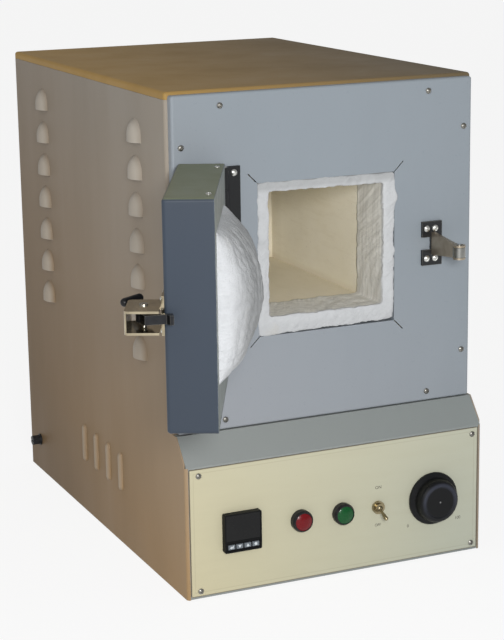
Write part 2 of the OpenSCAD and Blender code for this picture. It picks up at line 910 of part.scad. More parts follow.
// Black bezel and body of a pilot lamp
module lamp_bezel(x) {
    r = lamp_d/2;
    color("#1b1b1e") translate([x, face_y, controls_z]) rotate([90, 0, 0])
        difference() {
            union() {
                rotate_extrude() polygon([
                    [0, 0], [r, 0], [r, lamp_out - 3], [r - 1.6, lamp_out], [0, lamp_out]
                ]);
                translate([0, 0, -30]) cylinder(r = lens_r, h = 31);
                translate([0, 0, -panel_t - sheet_t - 4])
                    cylinder(r = lens_r + 4, h = 4, $fn = 6);
            }
            translate([0, 0, 2]) cylinder(r = lens_r, h = lamp_out);
        }
}

// Domed lens of a pilot lamp
module lamp_lens(x) {
    r = lens_r - seat/2;
    dome_r = 2*lens_r;
    base = lamp_out - 0.4;
    translate([x, face_y, controls_z]) rotate([90, 0, 0]) intersection() {
        translate([0, 0, 2]) cylinder(r = r, h = base + 4);
        translate([0, 0, base - sqrt(dome_r*dome_r - r*r)]) sphere(r = dome_r, $fn = 64);
    }
}

module red_lamp_bezel() {
    lamp_bezel(red_lamp_x);
}

module red_lamp_lens() {
    color("#8c1f2b") lamp_lens(red_lamp_x);
}

module green_lamp_bezel() {
    lamp_bezel(green_lamp_x);
}

module green_lamp_lens() {
    color("#1d6b42") lamp_lens(green_lamp_x);
}

// Body, bush and nut of the toggle switch, hollow at the front for the lever's ball
module toggle_body() {
    ball_r = 4.2;
    color("#a9a595") translate([toggle_x, face_y, controls_z]) rotate([90, 0, 0])
        difference() {
            union() {
                cylinder(r = 8, h = toggle_nut_h);
                cylinder(r = 6, h = toggle_nut_h + 3);
                translate([0, 0, -12]) cylinder(r = 6, h = 13);
                translate([-8, -13, -32]) cube([16, 26, 32 - panel_t - sheet_t - 1]);
            }
            translate([0, 0, toggle_nut_h + 0.4]) sphere(r = ball_r);
            translate([0, 0, toggle_nut_h + 0.4]) cylinder(r1 = 2, r2 = 4, h = 3.6);
        }
}

// Bat lever, resting at the bottom of its travel
module toggle_lever() {
    ball_r = 3.9;
    color("#c2beb0") translate([toggle_x, face_y - toggle_nut_h - 0.4, controls_z])
        rotate([90 + toggle_tilt, 0, 0]) {
            sphere(r = ball_r);
            rotate_extrude() polygon([
                [0, 0], [1.7, 0], [1.5, 6], [2.7, 19], [2.5, 20.6], [1.6, 21.6], [0, 22]
            ]);
        }
}

// Energy regulator behind the panel, with its fixed bush
module regulator() {
    color("#5d5f62") translate([knob_x, face_y, controls_z]) rotate([90, 0, 0])
        difference() {
            union() {
                translate([-26, -26, -46])
                    cube([52, 52, 46 - panel_t - sheet_t - seat]);
                translate([0, 0, -10]) cylinder(r = dial_r, h = 12);
            }
            translate([0, 0, -20]) cylinder(r = 3 + running, h = 30);
        }
}

// Round knob with a skirt, a rounded shoulder and a dished front, and its spindle
module regulator_knob() {
    r = knob_d/2;
    lift = 0.8;
    rim = r - 6;
    top = r - 12;
    spindle_r = 3;
    color("#161719") translate([knob_x, face_y, controls_z]) rotate([90, 0, 0])
        difference() {
            union() {
                rotate_extrude($fn = 96) polygon([
                    [dial_r + 1, lift], [r, lift], [r, lift + 2.6], [r - 0.8, lift + 3.6],
                    [rim + 1.4, lift + 4.6], [rim + 0.3, lift + 6], [rim, lift + 8],
                    [rim - 0.4, knob_h - 5], [rim - 1.6, knob_h - 2.6],
                    [rim - 3.4, knob_h - 0.9], [top, knob_h], [top - 1, knob_h],
                    [top - 2, knob_h - 1], [2.4, knob_h - 1.3], [1.8, knob_h - 0.7],
                    [0, knob_h - 0.6], [0, lift + 6], [dial_r + 1, lift + 6]
                ]);
                translate([0, 0, -18]) cylinder(r = spindle_r, h = 18 + lift + 7);
            }
            translate([-spindle_r - cut, -spindle_r - cut - 0.8, -18 - cut])
                cube([2*spindle_r + 2*cut, 1.8, 5 + cut]);
        }
}

// ---- Hinges ----

// The leaf screwed to the front plate, with the outer two knuckles of its barrel
module fixed_leaf(z) {
    color("#17181a") difference() {
        union() {
            block([pin_x, plate_y - leaf_t, z - hinge_h/2],
                  [pin_x + leaf_w, plate_y, z + hinge_h/2]);
            translate([pin_x, pin_y, z - hinge_h/2]) cylinder(r = barrel_r, h = hinge_h);
        }
        translate([pin_x, pin_y, z - knuckle_h/2 - knuckle_gap])
            cylinder(r = barrel_r + 0.6, h = knuckle_h + 2*knuckle_gap);
        translate([pin_x, pin_y, z - hinge_h/2 - cut])
            cylinder(r = hinge_pin_r + running, h = hinge_h + 2*cut);
        for (s = [-1, 1])
            bar_y(leaf_screw_x, z + s*leaf_screw_z, screw_hole_r,
                  plate_y - leaf_t - cut, plate_y + cut);
    }
}

// The leaf on the door: the middle knuckle, an arm and a strap down the door's edge
module door_leaf(z) {
    edge = -door_w/2;
    arm_y = pin_y - barrel_r;
    strap_y = door_out + 9;
    color("#17181a") swung_open() difference() {
        union() {
            translate([pin_x, pin_y, z - knuckle_h/2]) cylinder(r = barrel_r, h = knuckle_h);
            block([pin_x, arm_y, z - knuckle_h/2], [edge, arm_y + leaf_t, z + knuckle_h/2]);
            block([edge - leaf_t, strap_y, z - hinge_h/2], [edge, arm_y + leaf_t, z + hinge_h/2]);
        }
        translate([pin_x, pin_y, z - hinge_h])
            cylinder(r = hinge_pin_r + running, h = 2*hinge_h);
    }
}

// Pin with a low head resting on the upper knuckle
module hinge_pin(z) {
    color("#b9babb") translate([pin_x, pin_y, z]) {
        translate([0, 0, -hinge_h/2 - 1]) cylinder(r = hinge_pin_r, h = hinge_h + 1);
        translate([0, 0, hinge_h/2]) cylinder(r = hinge_pin_r + 1.6, h = 1.6);
    }
}

module upper_fixed_leaf() {
    fixed_leaf(upper_z);
}

module lower_fixed_leaf() {
    fixed_leaf(lower_z);
}

module upper_door_leaf() {
    door_leaf(upper_z);
}

module lower_door_leaf() {
    door_leaf(lower_z);
}

module upper_hinge_pin() {
    hinge_pin(upper_z);
}

module lower_hinge_pin() {
    hinge_pin(lower_z);
}

module hinge_screws() {
    color("silver") for (z = [upper_z, lower_z])
        for (s = [-1, 1])
            pan_screw(leaf_screw_x, z + s*leaf_screw_z, plate_y - leaf_t, leaf_t, 3.9, 2.6);
}

// ---- Door ----

screw_rows = [-door_w/2 + 30, door_w/2 - 24];
screw_y = door_in - 7;

module door_shell() {
    color("#4c5663") swung_open() difference() {
        translate([0, door_in, door_z])
            folded_tray(door_w, door_h, door_t, door_r, door_sheet);
        for (x = screw_rows)
            translate([x, screw_y, door_z - door_h])
                cylinder(r = screw_hole_r, h = 2*door_h);
        latch_screw_holes(door_out, door_out + door_sheet);
    }
}

// Pale inner plate, a shallow tray inside the shell's edge with a window for the pad
module door_inner_plate() {
    t = shell_t;
    color("#b4b8b8") swung_open() translate([0, 0, door_z]) difference() {
        block([-tray_w/2, door_in - tray_deep, -tray_h/2], [tray_w/2, door_in, tray_h/2]);
        block([-tray_w/2 + t, door_in - tray_deep - cut, -tray_h/2 + t],
              [tray_w/2 - t, door_in - t, tray_h/2 - t]);
        block([-hole_w/2, door_in - tray_deep, pad_z - door_z - hole_h/2],
              [hole_w/2, door_in + cut, pad_z - door_z + hole_h/2]);
        for (x = screw_rows)
            translate([x, screw_y, -door_h]) cylinder(r = screw_hole_r, h = 2*door_h);
    }
}

module door_insulation() {
    w = tray_w/2 - shell_t - 4;
    h = tray_h/2 - shell_t - 4;
    color("#e8e4da") swung_open()
        block([-w, door_out + door_sheet + 0.1, door_z - h],
              [w, door_in - shell_t - pad_root - 0.1, door_z + h]);
}

// Fibre plug: a flat root in the inner plate's window and a swelling that fills the mouth
module door_pad() {
    lip_y = door_in + pad_lip;
    plug = [chamber_w/2 - pad_clear, chamber_h/2 - pad_clear];
    crown = [chamber_w/2 - 24, chamber_h/2 - 24];
    color("#eeeeea") swung_open() union() {
        block([-pad_w/2, door_in - shell_t - pad_root, pad_z - pad_h/2],
              [pad_w/2, lip_y, pad_z + pad_h/2]);
        hull() {
            block([-plug[0], lip_y - 0.5, chamber_z - plug[1]],
                  [plug[0], lip_y, chamber_z + plug[1]]);
            block([-plug[0] + 7, door_in + pad_out*0.72 - 0.1, chamber_z - plug[1] + 7],
                  [plug[0] - 7, door_in + pad_out*0.72, chamber_z + plug[1] - 7]);
            block([-crown[0], door_in + pad_out - 0.1, chamber_z - crown[1]],
                  [crown[0], door_in + pad_out, chamber_z + crown[1]]);
        }
    }
}

// Screws through the top and bottom walls of the door, and through the latch plate
module door_screws() {
    color("silver") swung_open() {
        for (x = screw_rows) {
            translate([x, screw_y, door_z + door_h/2]) rotate([-90, 0, 0])
                pan_screw(0, 0, 0, 4, 3.2, 2);
            translate([x, screw_y, door_z - door_h/2]) rotate([90, 0, 0])
                pan_screw(0, 0, 0, 4, 3.2, 2);
        }
        for (x = latch_screw_xs)
            for (s = [-1, 1])
                pan_screw(x, latch_z + s*latch_screw_z, door_out - foot_plate_t,
                          foot_plate_t + door_sheet - 0.1, 2.8, 1.8);
    }
}

// ---- Latch and keeper ----

latch_screw_xs = [latch_tail - 16, door_w/2 - 10];
latch_screw_z = 16.8;

module latch_plate() {
    color("#c9cbcc") swung_open() difference() {
        block([latch_tail - 24, door_out - foot_plate_t, latch_z - 21],
              [door_w/2 - 4, door_out, latch_z + 21]);
        latch_screw_holes(door_out - foot_plate_t, door_out);
    }
}

// Holes for the latch plate's screws, from one depth to another
module latch_screw_holes(y_from, y_to) {
    for (x = latch_screw_xs)
        for (s = [-1, 1])
            bar_y(x, latch_z + s*latch_screw_z, screw_hole_r, y_from - cut, y_to + cut);
}

// Bright housing, a channel on its side, open at both ends and towards the keeper
module latch_housing() {
    r = 5;
    foot = door_out - foot_plate_t;
    color("#d4d6d8") swung_open() difference() {
        union() {
            block([latch_tail, latch_face + r, latch_z - latch_h/2],
                  [latch_tip, foot, latch_z + latch_h/2]);
            block([latch_tail + r, latch_face, latch_z - latch_h/2],
                  [latch_tip - r, foot, latch_z + latch_h/2]);
            for (x = [latch_tail + r, latch_tip - r])
                translate([x, latch_face + r, latch_z - latch_h/2]) cylinder(r = r, h = latch_h);
        }
        block([latch_tail - cut, latch_face + latch_wall, latch_z - latch_h/2 + latch_wall],
              [latch_tip + cut, foot + cut, latch_z + latch_h/2 - latch_wall]);
        translate([pivot_x, pivot_y, latch_z - latch_h])
            cylinder(r = pivot_r + running, h = 2*latch_h);
    }
}

module latch_pivot_pin() {
    color("#b9babb") swung_open() translate([pivot_x, pivot_y, latch_z]) {
        translate([0, 0, -latch_h/2 - 1]) cylinder(r = pivot_r, h = latch_h + 1);
        translate([0, 0, latch_h/2]) cylinder(r = pivot_r + 1.6, h = 1.4);
    }
}

// Lever with a hook for the roller at one end and a handle bar at the other
module latch_lever() {
    hook_x = roller_x - roller_r - 3;
    tip_x = roller_x - 3.5;
    hook_y = roller_y + roller_r;
    bar = 4;
    color("#c7c9cb") swung_open() released()
        difference() {
            translate([0, 0, latch_z - lever_h/2]) linear_extrude(lever_h) union() {
                translate([pivot_x, pivot_y]) circle(r = 8.5);
                polygon([
                    [pivot_x, pivot_y - 7],
                    [hook_x, pivot_y - 3],
                    [hook_x, hook_y - 1.5],
                    [tip_x, hook_y + 0.6],
                    [tip_x, hook_y + 4.6],
                    [hook_x - 3.5, hook_y + 5.4],
                    [hook_x - 7, pivot_y + 9],
                    [pivot_x, pivot_y + 8]
                ]);
                translate([grip_x + grip_neck, pivot_y - bar])
                    square([handle_len - grip_neck, 2*bar]);
                translate([grip_x - 1, pivot_y - tang]) square([grip_neck + 2, 2*tang]);
            }
            translate([pivot_x, pivot_y, latch_z - lever_h])
                cylinder(r = pivot_r + running, h = 2*lever_h);
            for (step = [[latch_tail - 4, 3], [grip_x + grip_neck, tang]])
                for (z = [latch_z + step[1], latch_z - step[1] - lever_h])
                    block([grip_x - 2, pivot_y - bar - cut, z],
                          [step[0], pivot_y + bar + cut, z + lever_h]);
        }
}

// Black grip rod set across the end of the handle, with the handle's tang in its side
module latch_grip() {
    r = grip_d/2;
    reach = grip_len/2 - r;
    play = 0.2;
    color("#151617") swung_open() released() difference() {
        translate([grip_x, pivot_y + 2, latch_z]) rotate([0, 0, -grip_turn]) {
            rotate([0, 90, 0]) cylinder(r = r, h = 2*reach, center = true);
            for (side = [-1, 1])
                translate([side*reach, 0, 0]) sphere(r = r);
        }
        block([grip_x - 1 - play, pivot_y - tang - play, latch_z - tang - play],
              [grip_x + grip_neck, pivot_y + tang + play, latch_z + tang + play]);
    }
}

// Keeper: two screwed feet, a strap between them and an arm that forks round the roller
module keeper() {
    arm_left = roller_x - keeper_arm/2;
    foot_y = plate_y - keeper_t;
    root_y = roller_y + roller_r + 2;
    tip = roller_h/2 + 0.4 + ear_h;
    color("#7d6d55") difference() {
        union() {
            for (s = [-1, 1])
                block([roller_x - 15, foot_y, latch_z + (s > 0 ? 8 : -27)],
                      [roller_x + 12, plate_y, latch_z + (s > 0 ? 27 : -8)]);
            block([roller_x - 3, foot_y, latch_z - 9], [roller_x + 10, plate_y, latch_z + 9]);
            translate([arm_left, 0, 0]) rotate([90, 0, 90]) linear_extrude(keeper_arm)
                polygon([
                    [foot_y + 0.5, latch_z - 14],
                    [foot_y + 0.5, latch_z + 14],
                    [root_y + 10, latch_z + tip + 1],
                    [roller_y + roller_r, latch_z + tip],
                    [roller_y, latch_z + tip],
                    [roller_y, latch_z - tip],
                    [roller_y + roller_r, latch_z - tip],
                    [root_y + 10, latch_z - tip - 1]
                ]);
            for (z = [latch_z - tip, latch_z + tip - ear_h])
                translate([roller_x, roller_y, z]) cylinder(r = roller_r, h = ear_h);
        }
        translate([roller_x - 10, roller_y - 10, latch_z - tip + ear_h])
            cube([20, 10 + roller_r + 2, 2*(tip - ear_h)]);
        translate([roller_x, roller_y, latch_z - 20]) cylinder(r = 2 + running, h = 40);
        for (p = keeper_screw_places())
            bar_y(p[0], p[1], screw_hole_r, foot_y - cut, plate_y + cut);
    }
}

function keeper_screw_places() = [
    for (s = [-1, 1])
        for (x = [roller_x - 9.5, roller_x + 2])
            [x + 0.5, latch_z + s*18.5]
];

module keeper_roller() {
    color("#8f8d88") difference() {
        translate([roller_x, roller_y, latch_z - roller_h/2]) cylinder(r = roller_r, h = roller_h);
        translate([roller_x, roller_y, latch_z - roller_h]) cylinder(r = 2 + running, h = 2*roller_h);
    }
}

module keeper_pin() {
    tip = roller_h/2 + 0.4 + ear_h;
    color("#b9babb") translate([roller_x, roller_y, latch_z]) {
        translate([0, 0, -tip - 0.8]) cylinder(r = 2, h = 2*tip + 0.8);
        translate([0, 0, tip]) cylinder(r = 3.2, h = 1);
    }
}

module keeper_screws() {
    color("silver") for (p = keeper_screw_places())
        pan_screw(p[0], p[1], plate_y - keeper_t, keeper_t, 4, 2.6);
}

left_side_panel();
right_side_panel();
top_cover();
rear_panel();
base_pan();
console_fascia();
control_panel();
panel_screws();
front_plate();
front_plate_screws();
shelf();
inner_shell();
insulation_top();
insulation_bottom();
insulation_left();
insulation_right();
insulation_rear();
muffle();
heating_coil();
fibre_collar();
thermocouple();
terminal_block();
relay();
fuse_holder();
cable_gland();
controller_housing();
controller_window();
controller_key_1();
controller_key_2();
controller_key_3();
controller_key_4();
red_lamp_bezel();
red_lamp_lens();
green_lamp_bezel();
green_lamp_lens();
toggle_body();
toggle_lever();
regulator();
regulator_knob();
upper_fixed_leaf();
lower_fixed_leaf();
upper_door_leaf();
lower_door_leaf();
upper_hinge_pin();
lower_hinge_pin();
hinge_screws();
door_shell();
door_inner_plate();
door_insulation();
door_pad();
door_screws();
latch_plate();
latch_housing();
latch_pivot_pin();
latch_lever();
latch_grip();
keeper();
keeper_roller();
keeper_pin();
keeper_screws();
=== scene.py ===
import json
import math

import bpy
import numpy as np
from mathutils import Matrix, Vector


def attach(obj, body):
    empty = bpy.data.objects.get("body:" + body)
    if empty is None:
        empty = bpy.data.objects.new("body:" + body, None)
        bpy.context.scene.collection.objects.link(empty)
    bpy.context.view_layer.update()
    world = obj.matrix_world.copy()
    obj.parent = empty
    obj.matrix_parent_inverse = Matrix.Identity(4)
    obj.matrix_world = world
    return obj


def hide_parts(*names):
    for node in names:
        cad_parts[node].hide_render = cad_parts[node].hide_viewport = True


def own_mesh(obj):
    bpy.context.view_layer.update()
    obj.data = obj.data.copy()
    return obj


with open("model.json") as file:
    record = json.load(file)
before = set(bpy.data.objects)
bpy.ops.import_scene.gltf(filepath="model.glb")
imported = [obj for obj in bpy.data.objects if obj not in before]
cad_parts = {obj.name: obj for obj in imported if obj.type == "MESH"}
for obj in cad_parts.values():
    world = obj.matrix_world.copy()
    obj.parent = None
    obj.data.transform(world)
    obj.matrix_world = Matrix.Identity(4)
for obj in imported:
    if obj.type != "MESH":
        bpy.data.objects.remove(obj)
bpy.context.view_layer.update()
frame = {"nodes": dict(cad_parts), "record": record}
nodes = frame["nodes"]
print("frame loaded:", len(nodes), "nodes")


class Wire:
    # wraps one output socket; + - * and powers on it add Math nodes to its tree
    def __init__(self, kit, socket):
        self.kit = kit
        self.socket = socket

    def maths(self, operation, *values, clamp=False):
        return self.kit.maths(operation, *values, clamp=clamp)

    def __add__(self, other):
        return self.maths("ADD", self, other)

    def __radd__(self, other):
        return self.maths("ADD", other, self)

    def __sub__(self, other):
        return self.maths("SUBTRACT", self, other)

    def __rsub__(self, other):
        return self.maths("SUBTRACT", other, self)

    def __mul__(self, other):
        return self.maths("MULTIPLY", self, other)

    def __rmul__(self, other):
        return self.maths("MULTIPLY", other, self)

    def __pow__(self, other):
        return self.maths("POWER", self, other)

    def __abs__(self):
        return self.maths("ABSOLUTE", self)

    def clamp(self):
        return self.maths("ADD", self, 0.0, clamp=True)


class Kit:
    # one material's node tree, with the calls that write it
    def __init__(self, name):
        self.material = bpy.data.materials.new(name)
        self.material.use_nodes = True
        self.tree = self.material.node_tree
        self.tree.nodes.clear()
        self.out = self.tree.nodes.new("ShaderNodeOutputMaterial")
        self.coords = self.add("ShaderNodeTexCoord", output="Object")

    def maths(self, operation, *values, clamp=False):
        return self.add("ShaderNodeMath", {"operation": operation, "use_clamp": clamp},
                        dict(enumerate(values)))

    def add(self, kind, settings=None, inputs=None, output=0):
        node = self.tree.nodes.new(kind)
        for key, value in (settings or {}).items():
            setattr(node, key, value)
        for key, value in (inputs or {}).items():
            self.feed(node.inputs[key], value)
        return Wire(self, node.outputs[output])

    def feed(self, socket, value):
        if isinstance(value, Wire):
            self.tree.links.new(value.socket, socket)
        elif isinstance(value, (tuple, list)) and len(value) == 3 and socket.type == "RGBA":
            socket.default_value = rgba(value)
        else:
            socket.default_value = value

    def split(self):
        parts = self.add("ShaderNodeSeparateXYZ", None, {0: self.coords}).socket.node
        return [Wire(self, parts.outputs[i]) for i in range(3)]

    def place(self, scale=(1, 1, 1), turn=(0, 0, 0)):
        return self.add("ShaderNodeMapping", {"vector_type": "POINT"},
                        {"Vector": self.coords, "Scale": scale, "Rotation": turn})

    def noise(self, scale, detail=3.0, rough=0.5, where=None, distort=0.0):
        return self.add("ShaderNodeTexNoise", {"noise_dimensions": "3D"},
                        {"Vector": where or self.coords, "Scale": scale, "Detail": detail,
                         "Roughness": rough, "Distortion": distort}, "Fac")

    def cells(self, scale):
        return self.add("ShaderNodeTexVoronoi", {"feature": "F1"},
                        {"Vector": self.coords, "Scale": scale}, "Distance")

    def span(self, value, low, high, to=(0.0, 1.0)):
        # remaps low..high of a value to the range "to", held inside it
        return self.add("ShaderNodeMapRange", {"clamp": True},
                        {"Value": value, "From Min": low, "From Max": high,
                         "To Min": to[0], "To Max": to[1]})

    def blend(self, factor, first, second, way="MIX"):
        mixed = self.tree.nodes.new("ShaderNodeMix")
        mixed.data_type = "RGBA"
        mixed.blend_type = way
        self.feed(mixed.inputs[0], factor)
        self.feed(mixed.inputs[6], first)
        self.feed(mixed.inputs[7], second)
        return Wire(self, mixed.outputs[2])

    def bump(self, height, strength, distance):
        return self.add("ShaderNodeBump", None,
                        {"Strength": strength, "Distance": distance, "Height": height})

    def edges(self, radius):
        # 1 along sharp edges and 0 on flats: how far a bevelled normal turns from the face's
        soft = self.add("ShaderNodeBevel", {"samples": 4}, {"Radius": radius})
        face = self.add("ShaderNodeNewGeometry", output="Normal")
        dot = self.add("ShaderNodeVectorMath", {"operation": "DOT_PRODUCT"},
                       {0: soft, 1: face}, "Value")
        return self.span(1.0 - dot, 0.02, 0.28)

    def finish(self, **inputs):
        shader = self.tree.nodes.new("ShaderNodeBsdfPrincipled")
        for key, value in inputs.items():
            self.feed(shader.inputs[key.replace("_", " ")], value)
        self.tree.links.new(shader.outputs[0], self.out.inputs["Surface"])
        return self.material


def rgba(shade):
    return (*shade[:3], 1.0)


def srgb(r, g, b):
    # 0..255 display values to linear colour
    return tuple(((c/255 + 0.055)/1.055)**2.4 if c/255 > 0.04045 else c/255/12.92
                 for c in (r, g, b))


# the side and top colours, with their warm ends, are lit copies of the casing's grey paint: painted
# warm light on its left side and top
sheetPaint = {
    "side": srgb(148, 140, 129),
    "sideWarmLight": srgb(157, 127, 88),
    "top": srgb(104, 92, 71),
    "topWarmLight": srgb(166, 133, 74),
    "plate": srgb(136, 144, 151),
    "ledge": srgb(138, 142, 140),
    "frame": srgb(108, 102, 92),
    "door": srgb(54, 63, 75),
    "grain": 900.0,
    "cloud": 3.2,
}


def enamel(name, colour, other=None, mixBy=None, dimBy=None, rough=0.46, gloss=0.35,
           wearAndHighlight=None, upwardTint=None, highlightBy=None):
    # stoved paint on sheet: slow clouds of tone, orange-peel bump, rubbed edges; mixBy turns
    # the axes into a 0..1 drift from the first colour to the other, dimBy into a painted
    # shade and highlightBy into a painted highlight in the lighter wearAndHighlight tone
    kit = Kit(name)
    cloud = kit.noise(sheetPaint["cloud"], 4.0, 0.55)
    smear = kit.noise(9.0, 5.0, 0.6, kit.place((1.0, 1.0, 0.22)))
    peel = kit.noise(sheetPaint["grain"], 2.0, 0.5)
    speck = kit.span(kit.noise(260.0, 2.0, 0.7), 0.66, 0.74)
    other = other or tuple(c*0.88 for c in colour)
    drift = kit.span(cloud, 0.32, 0.68)
    if mixBy:
        drift = mixBy(*kit.split()) + (cloud - 0.5)*0.35
        drift = drift.clamp()
    base = kit.blend(drift, colour, other)
    if dimBy:
        # painted shade: the colour darkened where dimBy rises
        base = kit.blend(dimBy(*kit.split()), base, (0.5, 0.5, 0.5), "MULTIPLY")
    base = kit.blend(kit.span(cloud, 0.35, 0.75)*0.16, base, tuple(c*0.72 for c in colour))
    base = kit.blend(kit.span(smear, 0.5, 0.8)*0.16, base, tuple(c*0.7 for c in colour))
    base = kit.blend(speck*0.12, base, tuple(c*0.45 for c in colour))
    if upwardTint:
        # faces that point up turn toward the upwardTint colour
        facing = kit.add("ShaderNodeNewGeometry", output="Normal")
        up = kit.add("ShaderNodeSeparateXYZ", None, {0: facing}, "Z")
        base = kit.blend(kit.span(up, 0.55, 0.95)*0.75, base, upwardTint)
    if highlightBy:
        # painted highlight: the parts highlightBy picks out turn toward the lighter tone
        base = kit.blend(highlightBy(*kit.split()), base, wearAndHighlight)
    edge = kit.edges(0.0016)
    rubbed = (edge*kit.span(kit.noise(55.0, 4.0, 0.65), 0.42, 0.62)).clamp()
    base = kit.blend(rubbed*0.5, base, wearAndHighlight or tuple(min(1.0, c*1.6 + 0.04) for c in colour))
    roughness = kit.span(smear, 0.3, 0.75, (rough - 0.07, rough + 0.1)) + rubbed*0.06
    return kit.finish(Base_Color=base, Roughness=roughness, Specular_IOR_Level=gloss,
                      Normal=kit.bump(peel*0.7 + cloud*0.3, 0.10, 0.0006))


panel = {
    "half": 0.195,               # half its width
    "foot": 0.003,               # heights of its lower and upper edge
    "head": 0.1615,
    "line": 0.0052,              # the printed line's distance from its edge
}


def printedSheet():
    # cream lacquered panel, warmer at its left, with faint wiping streaks and a printed border
    kit = Kit("panelLacquer")
    x, y, z = kit.split()
    drift = kit.span(x + 0.05*kit.noise(5.0, 3.0, 0.5), -0.19, 0.2)
    base = kit.blend(drift, srgb(194, 186, 154), srgb(173, 176, 161))
    base = kit.blend(kit.span(z, 0.0, 0.165)*0.35, base, srgb(186, 183, 160))
    streak = kit.noise(38.0, 4.0, 0.6, kit.place((0.25, 1.0, 2.2)))
    base = kit.blend(kit.span(streak, 0.45, 0.75)*0.07, base, srgb(160, 150, 120))
    fleck = kit.span(kit.noise(420.0, 2.0, 0.7), 0.7, 0.76)
    base = kit.blend(fleck*0.25, base, srgb(120, 108, 88))
    # distance from the panel's outline: a painted shadow along its outline, where it meets the
    # fascia, and a faint printed line 5 mm inside it
    upDown = kit.maths("MINIMUM", z - panel["foot"], panel["head"] - z)
    away = kit.maths("MINIMUM", panel["half"] - abs(x), upDown)
    line = kit.span(abs(away - panel["line"]), 0.00025, 0.0006, (1.0, 0.0))
    base = kit.blend(line*0.2, base, srgb(128, 116, 92))
    # painted shadow: the outline's outer millimetre darkened where the panel meets the fascia
    base = kit.blend(kit.span(away, 0.0005, 0.0012, (0.85, 0.0)), base, srgb(92, 80, 66))
    base = kit.blend(kit.edges(0.0012)*0.35, base, srgb(150, 146, 128))
    return kit.finish(Base_Color=base, Roughness=kit.span(streak, 0.3, 0.7, (0.34, 0.48)),
                      Specular_IOR_Level=0.4,
                      Normal=kit.bump(kit.noise(1100.0, 2.0, 0.5), 0.05, 0.0004))


def metal(name, colour, rough=0.3, along=(1.0, 1.0, 14.0), smudgeDepth=0.35, dark=0.35, plated=1.0):
    # bare or plated metal: brushed grain, darker smudges, and lighter edges
    kit = Kit(name)
    brushed = kit.noise(160.0, 4.0, 0.7, kit.place(along))
    smudge = kit.noise(42.0, 4.0, 0.6)
    dull = kit.span(smudge, 0.4, 0.7)
    base = kit.blend(dull*smudgeDepth, colour, tuple(c*dark for c in colour))
    base = kit.blend(kit.edges(0.0008)*0.4, base, tuple(min(1.0, c*1.35) for c in colour))
    return kit.finish(Base_Color=base, Metallic=plated,
                      Roughness=kit.span(brushed*0.5 + smudge*0.5, 0.3, 0.7,
                                         (max(0.05, rough - 0.1), rough + 0.16)),
                      Normal=kit.bump(brushed, 0.06, 0.0003))


def plastic(name, colour, rough=0.42, grain=700.0, depth=0.06, dust=0.1, gloss=0.3):
    # moulded plastic: fine spark-eroded grain, a little pale dust and rubbed edges
    kit = Kit(name)
    spark = kit.noise(grain, 3.0, 0.6)
    haze = kit.noise(30.0, 4.0, 0.6)
    pale = tuple(min(1.0, c*1.3 + 0.014) for c in colour)
    base = kit.blend(kit.span(haze, 0.4, 0.75)*dust, colour, pale)
    base = kit.blend(kit.edges(0.0009)*0.4, base, pale)
    return kit.finish(Base_Color=base, Specular_IOR_Level=gloss,
                      Roughness=kit.span(haze, 0.3, 0.7, (rough - 0.06, rough + 0.12)),
                      Normal=kit.bump(spark, depth, 0.0003))


keeper = {
    "foot": (-0.0146, -0.0141),  # y where the plating ends and where the feet are black
}


def keeperMetal():
    # the keeper's plated arm, with feet blackened against the plate
    kit = Kit("keeperBronze")
    x, y, z = kit.split()
    smudge = kit.noise(60.0, 4.0, 0.6)
    foot = kit.span(y + 0.0003*smudge, *keeper["foot"])
    base = kit.blend(kit.span(smudge, 0.35, 0.7)*0.5, srgb(172, 160, 142), srgb(124, 112, 96))
    base = kit.blend(foot, base, srgb(24, 26, 29))
    base = kit.blend(kit.edges(0.0008)*0.4, base, srgb(176, 168, 150))
    brushed = kit.noise(160.0, 4.0, 0.7, kit.place((1.0, 1.0, 4.0)))
    return kit.finish(Base_Color=base, Metallic=kit.span(foot, 0, 1, (0.85, 0.2)),
                      Roughness=kit.span(smudge, 0.3, 0.7, (0.3, 0.46)),
                      Normal=kit.bump(brushed, 0.06, 0.0003))


def leverDarkReflection():
    # latch lever: a dark colour as a painted reflection of a dark room in its chrome, bright along
    # its edges as painted reflections
    kit = Kit("leverDarkReflection")
    smudge = kit.noise(70.0, 4.0, 0.6)
    base = kit.blend(kit.span(smudge, 0.35, 0.7)*0.5, srgb(30, 31, 34), srgb(58, 58, 60))
    base = kit.blend(kit.edges(0.0008)*0.6, base, srgb(150, 146, 138))
    return kit.finish(Base_Color=base, Metallic=0.6, Specular_IOR_Level=0.4,
                      Roughness=kit.span(smudge, 0.3, 0.7, (0.26, 0.42)),
                      Normal=kit.bump(smudge, 0.05, 0.0003))


knob = {
    "axis": (0.131, 0.078),      # x and z
    "ring": 0.0215,              # its radius
    "dot": (0.0008, 0.0014),     # radii between which it fades out
    "lit": (0.066, 0.094),       # heights between which the painted reflection ring comes up
}


